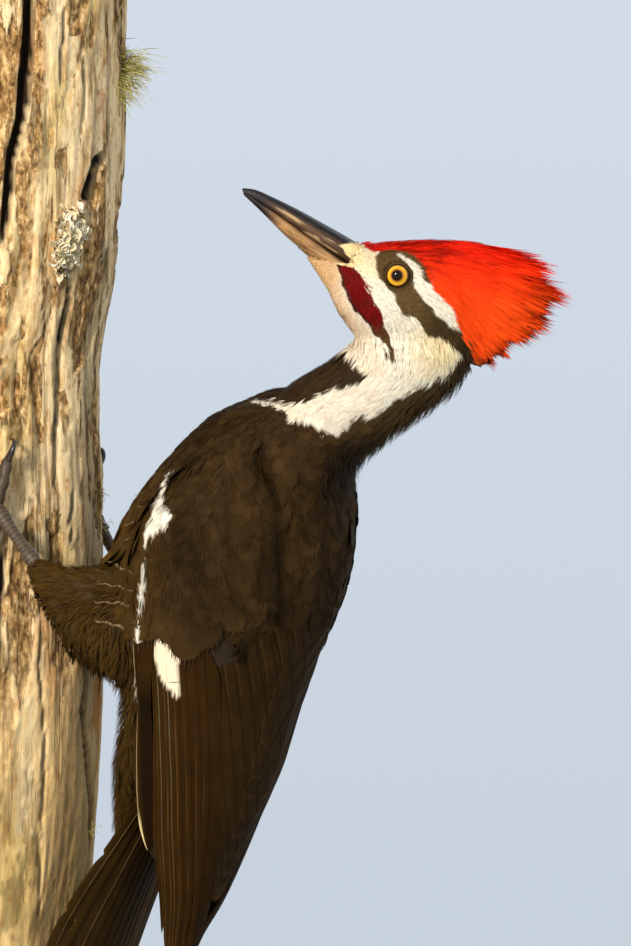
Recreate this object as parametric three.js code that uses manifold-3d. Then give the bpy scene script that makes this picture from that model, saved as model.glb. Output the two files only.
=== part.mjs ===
// Pileated woodpecker clinging to a cut length of dead trunk, as a life-size display model.
// Units are millimetres and +Z is up. The origin is the middle of the underside of the base.
// Looking along +Y the bird shows its left side, with its bill towards -X and up.
//
// The bird is laid out about the trunk: "back" is the distance from the trunk's axis towards
// the bird's back, "left" is the distance towards the bird's left, and "height" is Z.
// The head looks straight along -X, so it is laid out in X and Z about its own middle plane.

import * as THREE from 'three';
import { mergeVertices } from 'three/addons/utils/BufferGeometryUtils.js';
import Module from 'manifold-3d';

const wasm = await Module();
wasm.setup();

// ---------------------------------------------------------------- driving dimensions

const GAP = 0.3; // clearance left between neighbouring solids
const CUT_TOLERANCE = 0.02; // how far slivers left by a cut may be smoothed away

const BASE = { length: 270, width: 190, height: 16, corner: 18, bevel: 2.5 };
const ROD = { radius: 5, height: 40, spread: 46 };

const TRUNK = { x: -57, y: 25, bottom: 56, top: 535, sides: 30, rings: 12 };
// height, shift of the middle along X, radius
const TRUNK_ROWS = [
  [56, -13, 58],
  [120, -10, 57.5],
  [190, -4, 57],
  [240, -1, 57],
  [320, 0, 57.5],
  [380, 0, 57],
  [420, 6, 57.5],
  [460, 8.5, 58],
  [535, 9, 58.5],
];

const BODY_MESH = { rows: 18, sides: 20 };
const BODY_YAW = THREE.MathUtils.degToRad(30); // back turned partly towards -Y

// Outline of trunk and folded wings: height, back, half depth, half width
const BODY_ROWS = [
  [373, 152, 6, 8],
  [369, 151, 18, 19],
  [365, 150, 26, 26.5],
  [359, 147, 29.5, 33],
  [353, 144, 33.3, 38],
  [347, 140.5, 35.7, 42],
  [330, 133, 43, 48],
  [312, 127, 48.5, 50],
  [294, 124.7, 47.3, 49.5],
  [271, 120.6, 41, 46],
  [247, 117.8, 33.5, 41],
  [223, 112, 32, 37],
  [200, 106, 28, 31],
  [182, 107, 18.5, 24],
  [170, 105.7, 14.6, 18],
  [152, 101, 9.2, 12],
  [123, 97, 3, 5],
];
// Below this height the flesh leaves the wings and narrows into the under-tail coverts
const VENT_ROWS = [
  [373, 152, 6, 8],
  [369, 151, 18, 19],
  [365, 150, 26, 26.5],
  [359, 147, 29.5, 33],
  [353, 144, 33.3, 38],
  [347, 140.5, 35.7, 42],
  [330, 133, 43, 48],
  [312, 127, 48.5, 50],
  [294, 124.7, 47.3, 49.5],
  [271, 120.6, 41, 45],
  [247, 115, 33.5, 40],
  [223, 105, 28, 33],
  [205, 95.5, 20, 23],
  [190, 88.5, 14, 16],
  [180, 84, 4, 7],
];

const HEAD_MIDDLE_Y = -75;
// x, bottom, top, half width
const HEAD_ROWS = [
  [81, 419.5, 423, 2.5],
  [86, 412.8, 425.5, 6.5],
  [91, 404.5, 427.5, 9.5],
  [96, 396, 430, 12],
  [103, 390, 429.8, 14.5],
  [112, 387, 429.4, 16.6],
  [122, 385, 428.5, 17.4],
  [132, 383, 426, 16.4],
  [142, 383, 418, 13],
  [150, 388, 408, 7.5],
  [154, 393, 401, 3],
];
const CREST_ROWS = [
  [104.5, 426, 429.6, 3.5],
  [110, 423, 430.2, 7],
  [118, 420, 430.6, 9.5],
  [127, 411, 431, 11],
  [137, 397, 430.8, 12],
  [145, 384, 430.6, 11],
  [151, 378, 430.4, 8.5],
  [157, 382.5, 429.8, 6.8],
  [165, 388.5, 424.2, 5.5],
  [174, 396.5, 419, 4],
  [180, 405.5, 414.5, 2.6],
  [183, 409.8, 412.6, 1.2],
];
const UPPER_BILL_ROWS = [
  [56.8, 448.8, 450.4, 1.1],
  [61, 446.2, 449.9, 1.9],
  [65.4, 443.4, 448.2, 2.7],
  [77.6, 434.9, 442.3, 4.7],
  [88.3, 427.6, 436.4, 6.4],
  [98.9, 420.3, 430.4, 7.7],
  [104, 417, 427, 7.6],
];
const LOWER_BILL_ROWS = [
  [57.2, 447.3, 448.3, 0.9],
  [62.6, 442.2, 444.9, 2.1],
  [68.6, 436.2, 440.7, 3.3],
  [74.5, 430.4, 436.7, 4.3],
  [81, 425.2, 432.2, 5.3],
  [90, 419.2, 426, 6.6],
  [98, 414.2, 420.5, 7.3],
  [103, 411.5, 417.3, 7.2],
];
const EYE = { x: 117.5, z: 415.7, inset: 12.7, radius: 5.1 };

// Neck stations from inside the head to inside the shoulders: x, y, z, half depth, half width
const NECK_ROWS = [
  [138, -75, 393, 15.5, 12.5],
  [125, -74, 384.6, 19.7, 16],
  [113, -71, 377, 20.2, 17.5],
  [101, -67, 367.8, 19.5, 19.5],
  [89, -61, 359.5, 21, 23],
  [80, -56, 349, 23, 27],
];

const WING = { thickness: 4.2, top: 356, coversEnd: 252, secondariesEnd: 168 };
// Angles are measured about the body, 0 at the middle of the back and 90 at the flank
const WING_FRONT_ANGLE = 117;
const COVERTS_BACK_ANGLE = 40;

const TAIL = { baseThickness: 6, tipThickness: 2.6 };
// Stations down the tail: back, height, half width
const TAIL_ROWS = [
  [118, 242, 9],
  [107, 226, 16],
  [95, 203, 25],
  [83, 178, 32],
  [71.5, 154, 37.5],
  [62.5, 131, 38.5],
  [58.5, 111, 34],
  [57, 96, 23],
  [56.6, 88, 9],
];

const FEET = {
  left: { azimuth: -76, height: 325, ankle: [-26, -54, 303.5], hind: 172, side: 1 },
  right: { azimuth: 34, height: 322, ankle: [9, 50, 298], hind: -110, side: -1 },
};
// Headings run from straight up towards the outside of each foot
const TOES = [
  { name: 'inner', heading: -16, length: 20, radius: 2.9, claw: 12 },
  { name: 'middle', heading: 14, length: 26, radius: 3.1, claw: 13 },
  { name: 'outer', heading: 78, length: 27, radius: 3.1, claw: 13 },
  { name: 'hind', heading: null, length: 11, radius: 2.5, claw: 9 },
];
const TARSUS = { ankleRadius: 4.4, middleRadius: 3.3, footRadius: 4.2 };

// ---------------------------------------------------------------- materials

function finish(hex, roughness, metalness = 0) {
  return new THREE.MeshStandardMaterial({ color: hex, roughness, metalness });
}

const MATERIALS = {
  wood: finish(0x6b4a30, 0.5),
  steel: finish(0x9a9da0, 0.35, 1),
  bark: finish(0xcaa878, 0.9),
  plumage: finish(0x3c2c1c, 0.8),
  white: finish(0xf3e6cf, 0.8),
  crest: finish(0xd8301a, 0.75),
  bill: finish(0x4a4844, 0.45),
  mandible: finish(0xb08d62, 0.45),
  eye: finish(0xd9a520, 0.15),
  scale: finish(0x6c6a66, 0.6),
  claw: finish(0x2c2a28, 0.4),
};

// ---------------------------------------------------------------- general geometry

/** Turns rows of numbers into a smooth function of their first column. */
function smoothTable(rows) {
  const ordered = rows[0][0] < rows[rows.length - 1][0] ? rows : [...rows].reverse();
  const slope = (row, column) => {
    const before = ordered[Math.max(row - 1, 0)];
    const after = ordered[Math.min(row + 1, ordered.length - 1)];
    return (after[column] - before[column]) / (after[0] - before[0]);
  };
  return (key) => {
    let row = 0;
    while (row < ordered.length - 2 && key > ordered[row + 1][0]) {
      row += 1;
    }
    const start = ordered[row];
    const end = ordered[row + 1];
    const span = end[0] - start[0];
    const t = THREE.MathUtils.clamp((key - start[0]) / span, 0, 1);
    const values = [];
    for (let column = 1; column < start.length; column += 1) {
      const rise = t * t * (3 - 2 * t);
      const lean = t * (1 - t) * (1 - t) * slope(row, column) * span;
      const settle = -t * t * (1 - t) * slope(row + 1, column) * span;
      values.push(start[column] + (end[column] - start[column]) * rise + lean + settle);
    }
    return values;
  };
}

function centreOf(points) {
  const sum = new THREE.Vector3();
  points.forEach((point) => sum.add(point));
  return sum.divideScalar(points.length);
}

/** A closed solid through rings that all hold the same number of points. */
function loft(rings) {
  const count = rings[0].length;
  const points = rings.flat();
  const startCap = points.length;
  points.push(centreOf(rings[0]), centreOf(rings[rings.length - 1]));
  const lastRow = (rings.length - 1) * count;
  const triangles = [];
  for (let side = 0; side < count; side += 1) {
    const next = (side + 1) % count;
    for (let row = 0; row < rings.length - 1; row += 1) {
      const here = row * count;
      const there = here + count;
      triangles.push([here + side, here + next, there + next]);
      triangles.push([here + side, there + next, there + side]);
    }
    triangles.push([startCap, next, side]);
    triangles.push([startCap + 1, lastRow + side, lastRow + next]);
  }
  let volume = 0;
  for (const [a, b, c] of triangles) {
    volume += points[a].dot(new THREE.Vector3().crossVectors(points[b], points[c]));
  }
  const outward = volume > 0 ? triangles : triangles.map(([a, b, c]) => [a, c, b]);
  const geometry = new THREE.BufferGeometry().setFromPoints(points);
  geometry.setIndex(outward.flat());
  return geometry;
}

function toSolid(geometry) {
  const bare = geometry.clone();
  bare.deleteAttribute('normal');
  bare.deleteAttribute('uv');
  const welded = mergeVertices(bare, 1e-4);
  return new wasm.Manifold(new wasm.Mesh({
    numProp: 3,
    vertProperties: new Float32Array(welded.attributes.position.array),
    triVerts: new Uint32Array(welded.index.array),
  }));
}

function toGeometry(solid) {
  const mesh = solid.getMesh();
  const geometry = new THREE.BufferGeometry();
  geometry.setAttribute('position', new THREE.BufferAttribute(mesh.vertProperties, 3));
  geometry.setIndex(new THREE.BufferAttribute(mesh.triVerts, 1));
  return geometry;
}

/** Takes away from a solid the space that its neighbours need. */
function clearOf(solid, ...neighbours) {
  return neighbours.reduce((rest, neighbour) => rest.subtract(neighbour), solid);
}

/** The largest of the separate bodies that a cut may leave. */
function mainBody(solid) {
  const bodies = solid.decompose();
  return bodies.reduce((best, body) => (body.volume() > best.volume() ? body : best));
}

/** A round or oval tube: each station has a place, a half depth and a half width. */
function tube(stations, across, sides, grow = 0) {
  return loft(stations.map((station, index) => {
    const before = stations[Math.max(index - 1, 0)].at;
    const after = stations[Math.min(index + 1, stations.length - 1)].at;
    const along = after.clone().sub(before).normalize();
    const wide = across.clone().addScaledVector(along, -across.dot(along)).normalize();
    const deep = new THREE.Vector3().crossVectors(along, wide);
    const ring = [];
    for (let side = 0; side < sides; side += 1) {
      const turn = (2 * Math.PI * side) / sides;
      ring.push(station.at.clone()
        .addScaledVector(deep, Math.cos(turn) * (station.deep + grow))
        .addScaledVector(wide, Math.sin(turn) * (station.wide + grow)));
    }
    return ring;
  }));
}

/** A solid told by its profile along X: bottom, top and half width at each place. */
function profileSolid(rows, steps, sides, fullness, grow = 0) {
  const table = smoothTable(rows);
  const start = rows[0][0] - grow;
  const end = rows[rows.length - 1][0] + grow;
  const rings = [];
  for (let step = 0; step <= steps; step += 1) {
    const x = THREE.MathUtils.lerp(start, end, step / steps);
    const [bottom, top, half] = table(x);
    const ring = [];
    for (let side = 0; side < sides; side += 1) {
      const turn = (2 * Math.PI * side) / sides;
      const reach = Math.sin(turn);
      const rise = Math.cos(turn);
      const y = Math.sign(reach) * Math.abs(reach) ** fullness * (half + grow);
      const z = Math.sign(rise) * Math.abs(rise) ** fullness * ((top - bottom) / 2 + grow);
      ring.push(new THREE.Vector3(x, HEAD_MIDDLE_Y + y, (top + bottom) / 2 + z));
    }
    rings.push(ring);
  }
  return loft(rings);
}

// ---------------------------------------------------------------- places on the bird and trunk

/** A point told from the trunk's axis: towards the back, towards the left, and up. */
function birdPoint(back, left, height) {
  return new THREE.Vector3(
    TRUNK.x + back * Math.cos(BODY_YAW) - left * Math.sin(BODY_YAW),
    TRUNK.y - back * Math.sin(BODY_YAW) - left * Math.cos(BODY_YAW),
    height,
  );
}

const trunkAt = smoothTable(TRUNK_ROWS);

/** A point over the trunk's surface; azimuth 0 is +X and -90 is -Y. */
function trunkPoint(azimuth, height, above = 0) {
  const [shift, radius] = trunkAt(height);
  const turn = THREE.MathUtils.degToRad(azimuth);
  const ripple = 1.1 * Math.sin(5 * turn + height / 90) + 0.7 * Math.sin(9 * turn - height / 60);
  const reach = radius + ripple * 0.8 + above;
  return new THREE.Vector3(
    TRUNK.x + shift + reach * Math.cos(turn),
    TRUNK.y + reach * Math.sin(turn),
    height,
  );
}

const bodyAt = smoothTable(BODY_ROWS);
const fleshAt = smoothTable(VENT_ROWS);

// ---------------------------------------------------------------- stand and perch

function standBase() {
  const { length, width, height, corner, bevel } = BASE;
  const x = length / 2 - bevel;
  const y = width / 2 - bevel;
  const outline = new THREE.Shape();
  outline.moveTo(-x + corner, -y);
  outline.lineTo(x - corner, -y);
  outline.absarc(x - corner, -y + corner, corner, -Math.PI / 2, 0);
  outline.absarc(x - corner, y - corner, corner, 0, Math.PI / 2);
  outline.absarc(-x + corner, y - corner, corner, Math.PI / 2, Math.PI);
  outline.absarc(-x + corner, -y + corner, corner, Math.PI, 1.5 * Math.PI);
  const plate = new THREE.ExtrudeGeometry(outline, {
    depth: height - 2 * bevel,
    bevelThickness: bevel,
    bevelSize: bevel,
    bevelSegments: 1,
    curveSegments: 4,
  });
  plate.translate(0, 0, bevel);
  return plate;
}

function standRod(side) {
  const rod = new THREE.CylinderGeometry(ROD.radius, ROD.radius, ROD.height - 2 * GAP, 20);
  rod.rotateX(Math.PI / 2);
  const [shift] = trunkAt(TRUNK.bottom);
  rod.translate(TRUNK.x + shift + (side * ROD.spread) / 2, TRUNK.y, BASE.height + ROD.height / 2);
  return rod;
}

function perchLog(grow = 0) {
  const rings = [];
  for (let row = 0; row <= TRUNK.rings; row += 1) {
    const height = THREE.MathUtils.lerp(TRUNK.bottom, TRUNK.top, row / TRUNK.rings);
    const ring = [];
    for (let side = 0; side < TRUNK.sides; side += 1) {
      ring.push(trunkPoint((360 * side) / TRUNK.sides, height, grow));
    }
    rings.push(ring);
  }
  return loft(rings);
}

// ---------------------------------------------------------------- trunk of the body and wings

/** How far the flesh draws in under the closed wing at an angle about the body. */
function wingSeat(turn, height) {
  const angle = Math.abs(THREE.MathUtils.radToDeg(Math.atan2(Math.sin(turn), Math.cos(turn))));
  const { smoothstep } = THREE.MathUtils;
  const side = smoothstep(angle, 26, 58) * (1 - smoothstep(angle, 100, 134));
  const shoulder = 1 - smoothstep(height, WING.top - 14, WING.top + 6);
  const rump = (1 - smoothstep(height, 257, 270)) * (1 - smoothstep(angle, 100, 134));
  return (WING.thickness + 0.9) * Math.max(side * shoulder, rump * 0.8);
}

function bodyFlesh(grow = 0) {
  const bottom = VENT_ROWS[VENT_ROWS.length - 1][0] - grow;
  const top = VENT_ROWS[0][0] + grow;
  const rings = [];
  for (let row = 0; row <= BODY_MESH.rows; row += 1) {
    const height = THREE.MathUtils.lerp(bottom, top, row / BODY_MESH.rows);
    const [back, deep, wide] = fleshAt(height);
    const ring = [];
    for (let side = 0; side < BODY_MESH.sides; side += 1) {
      const turn = (2 * Math.PI * side) / BODY_MESH.sides;
      const reach = grow - wingSeat(turn, height);
      ring.push(birdPoint(
        back + (deep + reach) * Math.cos(turn),
        (wide + reach) * Math.sin(turn),
        height,
      ));
    }
    rings.push(ring);
  }
  return loft(rings);
}

/**
 * A curved panel that lies round the body. It runs from its top down to its bottom, between a
 * back and a front angle told for each height, and tapers to rounded ends.
 */
function wingPanel({ side, top, bottom, backAngle, frontAngle, thickness, round, grow = 0 }) {
  const rows = 10;
  const steps = 6;
  const rings = [];
  for (let row = 0; row <= rows; row += 1) {
    const down = row / rows;
    const height = THREE.MathUtils.lerp(top + grow, bottom, down);
    const [back, deep, wide] = bodyAt(height);
    const headEnd = Math.min(1, Math.sqrt(Math.max(down, 0.004) / round.top));
    const tailEnd = Math.min(1, Math.sqrt(Math.max(1 - down, 0.006) / round.bottom));
    const open = Math.min(headEnd, tailEnd);
    const middle = (backAngle(height) + frontAngle(height)) / 2;
    const half = ((frontAngle(height) - backAngle(height)) / 2) * open + grow * 3;
    const outer = [];
    const inner = [];
    for (let step = 0; step <= steps; step += 1) {
      const share = (2 * step) / steps - 1;
      const turn = THREE.MathUtils.degToRad(middle + half * share);
      const edge = Math.sqrt(Math.max(1 - share * share, 0));
      const depth = (1.2 + (thickness(height) - 1.2) * edge) * Math.min(1, 0.45 + open);
      const place = (reach) => birdPoint(
        back + (deep + reach) * Math.cos(turn),
        side * (wide + reach) * Math.sin(turn),
        height,
      );
      outer.push(place(grow));
      inner.push(place(-depth - grow));
    }
    rings.push([...outer, ...inner.reverse()]);
  }
  return loft(rings);
}

/** Angle on the body where the secondaries give way to the primaries. */
function splitAngle(height) {
  const share = THREE.MathUtils.clamp((height - WING.secondariesEnd) / 85, 0, 1);
  return THREE.MathUtils.lerp(44, 80, share);
}

function wingCoverts(side, grow = 0) {
  return wingPanel({
    side,
    top: WING.top,
    bottom: WING.coversEnd + 0.4 - grow,
    backAngle: (height) => COVERTS_BACK_ANGLE + Math.max(0, height - 325) * 0.6,
    frontAngle: (height) => WING_FRONT_ANGLE - Math.max(0, height - 335) * 0.7,
    thickness: () => WING.thickness,
    round: { top: 0.22, bottom: 0.12 },
    grow,
  });
}

function wingSecondaries(side, grow = 0) {
  return wingPanel({
    side,
    top: 256,
    bottom: WING.secondariesEnd - grow,
    backAngle: () => 3,
    frontAngle: (height) => splitAngle(height) - 0.8,
    thickness: () => 3.2,
    round: { top: 0.2, bottom: 0.16 },
    grow,
  });
}

function wingPrimaries(side, grow = 0) {
  const below = (height) => THREE.MathUtils.clamp((WING.secondariesEnd + 8 - height) / 14, 0, 1);
  return wingPanel({
    side,
    top: 274,
    bottom: 123 - grow,
    backAngle: (height) => THREE.MathUtils.lerp(splitAngle(height) + 0.8, 6, below(height)),
    frontAngle: () => WING_FRONT_ANGLE - 2,
    thickness: (height) => (height < 170 ? 2.4 : 3.2),
    round: { top: 0.12, bottom: 0.2 },
    grow,
  });
}

// ---------------------------------------------------------------- neck, head, bill and tail

function neckFlesh(grow = 0) {
  const stations = NECK_ROWS.map(([x, y, z, deep, wide]) => (
    { at: new THREE.Vector3(x, y, z), deep, wide }
  ));
  return tube(stations, new THREE.Vector3(0, 1, 0), 18, grow);
}

function eyeBall(side, grow = 0) {
  const ball = new THREE.SphereGeometry(EYE.radius + grow, 12, 8);
  ball.translate(EYE.x, HEAD_MIDDLE_Y - side * EYE.inset, EYE.z);
  return ball;
}

/** The braced tail: a shallow fan of stiff feathers that bends in to lie on the trunk. */
function tailFan(grow = 0) {
  const steps = 14;
  const path = new THREE.CatmullRomCurve3(
    TAIL_ROWS.map(([back, height]) => new THREE.Vector3(back, 0, height)),
  );
  const spread = new THREE.CatmullRomCurve3(
    TAIL_ROWS.map(([, , half], index) => new THREE.Vector3(index, half, 0)),
  );
  const rings = [];
  for (let step = 0; step <= steps; step += 1) {
    const share = step / steps;
    const spot = path.getPoint(share);
    const along = path.getTangent(share);
    const half = spread.getPoint(share).y + grow;
    const thick = THREE.MathUtils.lerp(TAIL.baseThickness, TAIL.tipThickness, share) / 2 + grow;
    const ring = [];
    for (let side = 0; side < 14; side += 1) {
      const turn = (2 * Math.PI * side) / 14;
      const left = half * Math.cos(turn);
      const arch = -(left * left) / 190;
      const out = thick * Math.sin(turn) + arch;
      ring.push(birdPoint(spot.x - along.z * out, left, spot.z + along.x * out));
    }
    rings.push(ring);
  }
  return loft(rings);
}

// ---------------------------------------------------------------- legs and feet

function ankleOf(foot) {
  return new THREE.Vector3(...foot.ankle);
}

/** Feathered thigh and shank: wide against the belly, narrow at the ankle. */
function thigh(foot, grow = 0) {
  const ankle = ankleOf(foot);
  const hip = birdPoint(112, foot.side * 20, 286);
  const knee = birdPoint(92, foot.side * 33, 283);
  const partWay = (share, drop) => knee.clone().lerp(ankle, share).setZ(ankle.z - drop);
  const stations = [
    { at: hip, deep: 32, wide: 12 },
    { at: knee, deep: 28, wide: 12 },
    { at: partWay(0.3, 18), deep: 21, wide: 10.5 },
    { at: partWay(0.6, 12.5), deep: 14.5, wide: 8.5 },
    { at: partWay(0.85, 6.5), deep: 8.5, wide: 6.5 },
    { at: ankle, deep: 4.4, wide: 4.6 },
  ];
  const across = new THREE.Vector3(-Math.sin(BODY_YAW), -Math.cos(BODY_YAW), 0);
  return tube(stations, across, 14, grow);
}

function footCentre(foot) {
  return trunkPoint(foot.azimuth, foot.height, TARSUS.footRadius + 0.6);
}

function tarsus(foot, grow = 0) {
  const ankle = ankleOf(foot);
  const centre = footCentre(foot);
  const stations = [
    { at: ankle.clone().lerp(centre, -0.06), deep: 2.6, wide: 2.6 },
    { at: ankle.clone().lerp(centre, 0.04), deep: TARSUS.ankleRadius, wide: TARSUS.ankleRadius },
    { at: ankle.clone().lerp(centre, 0.25), deep: 3.6, wide: 3.4 },
    { at: ankle.clone().lerp(centre, 0.6), deep: TARSUS.middleRadius, wide: TARSUS.middleRadius },
    { at: centre.clone().lerp(ankle, 0.08), deep: TARSUS.footRadius, wide: TARSUS.footRadius },
    { at: centre.clone().lerp(ankle, -0.08), deep: 2.2, wide: 2.2 },
  ];
  return tube(stations, new THREE.Vector3(0, 0, 1), 10, grow);
}

/** A point reached by walking over the trunk from the middle of the foot. */
function stepOnTrunk(foot, heading, distance, above) {
  const [, radius] = trunkAt(foot.height);
  const turn = THREE.MathUtils.degToRad(heading);
  const outward = foot.azimuth < -30 ? -1 : 1;
  const swing = THREE.MathUtils.radToDeg((distance * Math.sin(turn)) / radius) * outward;
  return trunkPoint(foot.azimuth + swing, foot.height + distance * Math.cos(turn), above);
}

/** The direction across a toe, flat on the trunk's surface. */
function acrossToe(foot, heading) {
  const around = THREE.MathUtils.degToRad(foot.azimuth);
  const turn = THREE.MathUtils.degToRad(heading);
  const outward = foot.azimuth < -30 ? -1 : 1;
  const level = new THREE.Vector3(-Math.sin(around), Math.cos(around), 0);
  return level.multiplyScalar(Math.cos(turn) * outward).setZ(-Math.sin(turn));
}

function toe(foot, { heading, length, radius }, grow = 0) {
  const stations = [];
  for (const share of [0.16, 0.36, 0.6, 0.85, 1]) {
    const bulge = 1 + 0.08 * Math.cos(share * 6 * Math.PI);
    const taper = (1 - 0.3 * share) * (share > 0.95 ? 0.7 : 1) * bulge;
    const arch = 2.2 * Math.sin(share * Math.PI);
    stations.push({
      at: stepOnTrunk(foot, heading, length * share, radius + 0.8 + arch),
      deep: radius * taper,
      wide: radius * taper,
    });
  }
  return tube(stations, acrossToe(foot, heading), 7, grow);
}

/** A strongly hooked claw that ends at the bark. */
function claw(foot, { heading, length, radius, claw: reach }) {
  const stations = [];
  for (const share of [0, 0.3, 0.6, 0.85, 1]) {
    const lift = radius + 1.2 + reach * (0.34 * Math.sin(share * 2.3) - 0.27 * share * share);
    const end = Math.max(lift - share ** 3 * (radius + 0.6), 0.7);
    const size = radius * (0.78 - 0.62 * share);
    stations.push({
      at: stepOnTrunk(foot, heading, length + 0.2 + reach * 0.72 * Math.sin(share * 1.5), end),
      deep: size,
      wide: size * 0.8,
    });
  }
  return tube(stations, acrossToe(foot, heading), 6);
}

// ---------------------------------------------------------------- putting it together

const group = new THREE.Group();

function add(name, geometry, material) {
  const shaded = geometry.index ? geometry.toNonIndexed() : geometry;
  shaded.computeVertexNormals();
  const mesh = new THREE.Mesh(shaded, material);
  mesh.name = name;
  group.add(mesh);
}

function addSolid(name, solid, material) {
  add(name, toGeometry(mainBody(solid).simplify(CUT_TOLERANCE)), material);
}

function buildStand() {
  add('stand_base', standBase(), MATERIALS.wood);
  add('stand_rod_left', standRod(-1), MATERIALS.steel);
  add('stand_rod_right', standRod(1), MATERIALS.steel);
  add('perch_log', perchLog(), MATERIALS.bark);
}

function buildHead() {
  const upper = toSolid(profileSolid(UPPER_BILL_ROWS, 11, 12, 0.85));
  const upperSpace = toSolid(profileSolid(UPPER_BILL_ROWS, 11, 12, 0.85, GAP));
  const lower = toSolid(profileSolid(LOWER_BILL_ROWS, 11, 12, 0.85));
  const lowerSpace = toSolid(profileSolid(LOWER_BILL_ROWS, 11, 12, 0.85, GAP));
  const eyes = [1, -1].map((side) => toSolid(eyeBall(side, GAP)));
  const body = toSolid(bodyFlesh(GAP));
  const neck = toSolid(neckFlesh());
  const neckSpace = toSolid(neckFlesh(GAP));
  const head = toSolid(profileSolid(HEAD_ROWS, 13, 18, 0.95));
  const headSpace = toSolid(profileSolid(HEAD_ROWS, 13, 18, 0.95, GAP));
  const crest = toSolid(profileSolid(CREST_ROWS, 12, 12, 0.95));

  addSolid('neck', clearOf(neck, body), MATERIALS.plumage);
  addSolid('head', clearOf(head, neckSpace, upperSpace, lowerSpace, ...eyes), MATERIALS.white);
  addSolid('crest', clearOf(crest, headSpace, neckSpace), MATERIALS.crest);
  addSolid('bill_upper', upper, MATERIALS.bill);
  addSolid('bill_lower', clearOf(lower, upperSpace), MATERIALS.mandible);
  add('eye_left', eyeBall(1), MATERIALS.eye);
  add('eye_right', eyeBall(-1), MATERIALS.eye);
}

function buildBody() {
  const parts = [wingCoverts, wingSecondaries, wingPrimaries];
  const names = ['', '_secondaries', '_primaries'];
  const wingSpaces = [];
  for (const [sideName, side] of [['left', 1], ['right', -1]]) {
    const taken = [];
    parts.forEach((makePart, index) => {
      const solid = clearOf(toSolid(makePart(side)), ...taken);
      addSolid(`wing_${sideName}${names[index]}`, solid, MATERIALS.plumage);
      const space = toSolid(makePart(side, GAP));
      taken.push(space);
      wingSpaces.push(space);
    });
  }
  const tail = toSolid(tailFan());
  const tailSpace = toSolid(tailFan(GAP));
  const flesh = clearOf(toSolid(bodyFlesh()), ...wingSpaces, tailSpace);
  addSolid('body', flesh, MATERIALS.plumage);
  addSolid('tail', clearOf(tail, toSolid(perchLog(GAP)), ...wingSpaces), MATERIALS.plumage);
}

function buildLegs() {
  const body = toSolid(bodyFlesh(GAP));
  for (const [sideName, foot] of Object.entries(FEET)) {
    const wingSpaces = [wingCoverts, wingSecondaries, wingPrimaries]
      .map((makePart) => toSolid(makePart(foot.side, GAP)));
    const thighSpace = toSolid(thigh(foot, GAP));
    const tarsusSpace = toSolid(tarsus(foot, GAP));
    const thighSolid = clearOf(toSolid(thigh(foot)), body, ...wingSpaces);
    addSolid(`thigh_${sideName}`, thighSolid, MATERIALS.plumage);
    addSolid(`tarsus_${sideName}`, clearOf(toSolid(tarsus(foot)), thighSpace), MATERIALS.scale);
    const taken = [tarsusSpace];
    for (const plan of TOES) {
      const digit = { ...plan, heading: plan.heading ?? foot.hind };
      const toeSolid = clearOf(toSolid(toe(foot, digit)), ...taken);
      const toeSpace = toSolid(toe(foot, digit, GAP));
      const clawSolid = clearOf(toSolid(claw(foot, digit)), toeSpace);
      addSolid(`toe_${digit.name}_${sideName}`, toeSolid, MATERIALS.scale);
      addSolid(`claw_${digit.name}_${sideName}`, clawSolid, MATERIALS.claw);
      taken.push(toeSpace);
    }
  }
}

buildStand();
buildHead();
buildBody();
buildLegs();

export default group;
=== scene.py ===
"""Pileated woodpecker clinging to a cut length of dead trunk: the looks, over its solid parts.

Lengths in this script are in millimetres until a mesh is made, and +Z is up. The bird shows its
left side to -Y. Places on the body are told as in the frame: "back" is the distance from the
trunk's axis towards the bird's back, "left" is towards its left, and "height" is Z.
"""

import math

import bmesh
import bpy
import numpy as np
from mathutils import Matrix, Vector
from mathutils.bvhtree import BVHTree


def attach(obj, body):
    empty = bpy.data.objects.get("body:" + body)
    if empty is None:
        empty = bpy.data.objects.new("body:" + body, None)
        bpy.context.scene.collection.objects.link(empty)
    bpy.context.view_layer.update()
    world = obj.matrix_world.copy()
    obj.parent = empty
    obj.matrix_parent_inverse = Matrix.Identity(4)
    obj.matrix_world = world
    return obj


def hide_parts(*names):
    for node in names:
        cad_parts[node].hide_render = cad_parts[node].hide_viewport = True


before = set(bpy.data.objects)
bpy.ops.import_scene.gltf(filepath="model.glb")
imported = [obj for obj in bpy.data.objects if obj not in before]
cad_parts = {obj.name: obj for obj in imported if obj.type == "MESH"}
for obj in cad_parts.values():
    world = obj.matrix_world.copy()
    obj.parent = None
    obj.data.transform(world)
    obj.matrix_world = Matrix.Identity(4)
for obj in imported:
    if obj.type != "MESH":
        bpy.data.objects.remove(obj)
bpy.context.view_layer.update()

MM = 0.001

# ---------------------------------------------------------------- driving dimensions

BODY_YAW = math.radians(30)
TRUNK_X = -57.0
TRUNK_Y = 25.0
# height, shift of the middle along X, radius
TRUNK_ROWS = [
    (56, -13, 58), (120, -10, 57.5), (190, -4, 57), (240, -1, 57), (320, 0, 57.5),
    (380, 0, 57), (420, 6, 57.5), (460, 8.5, 58), (535, 9, 58.5),
]
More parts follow.
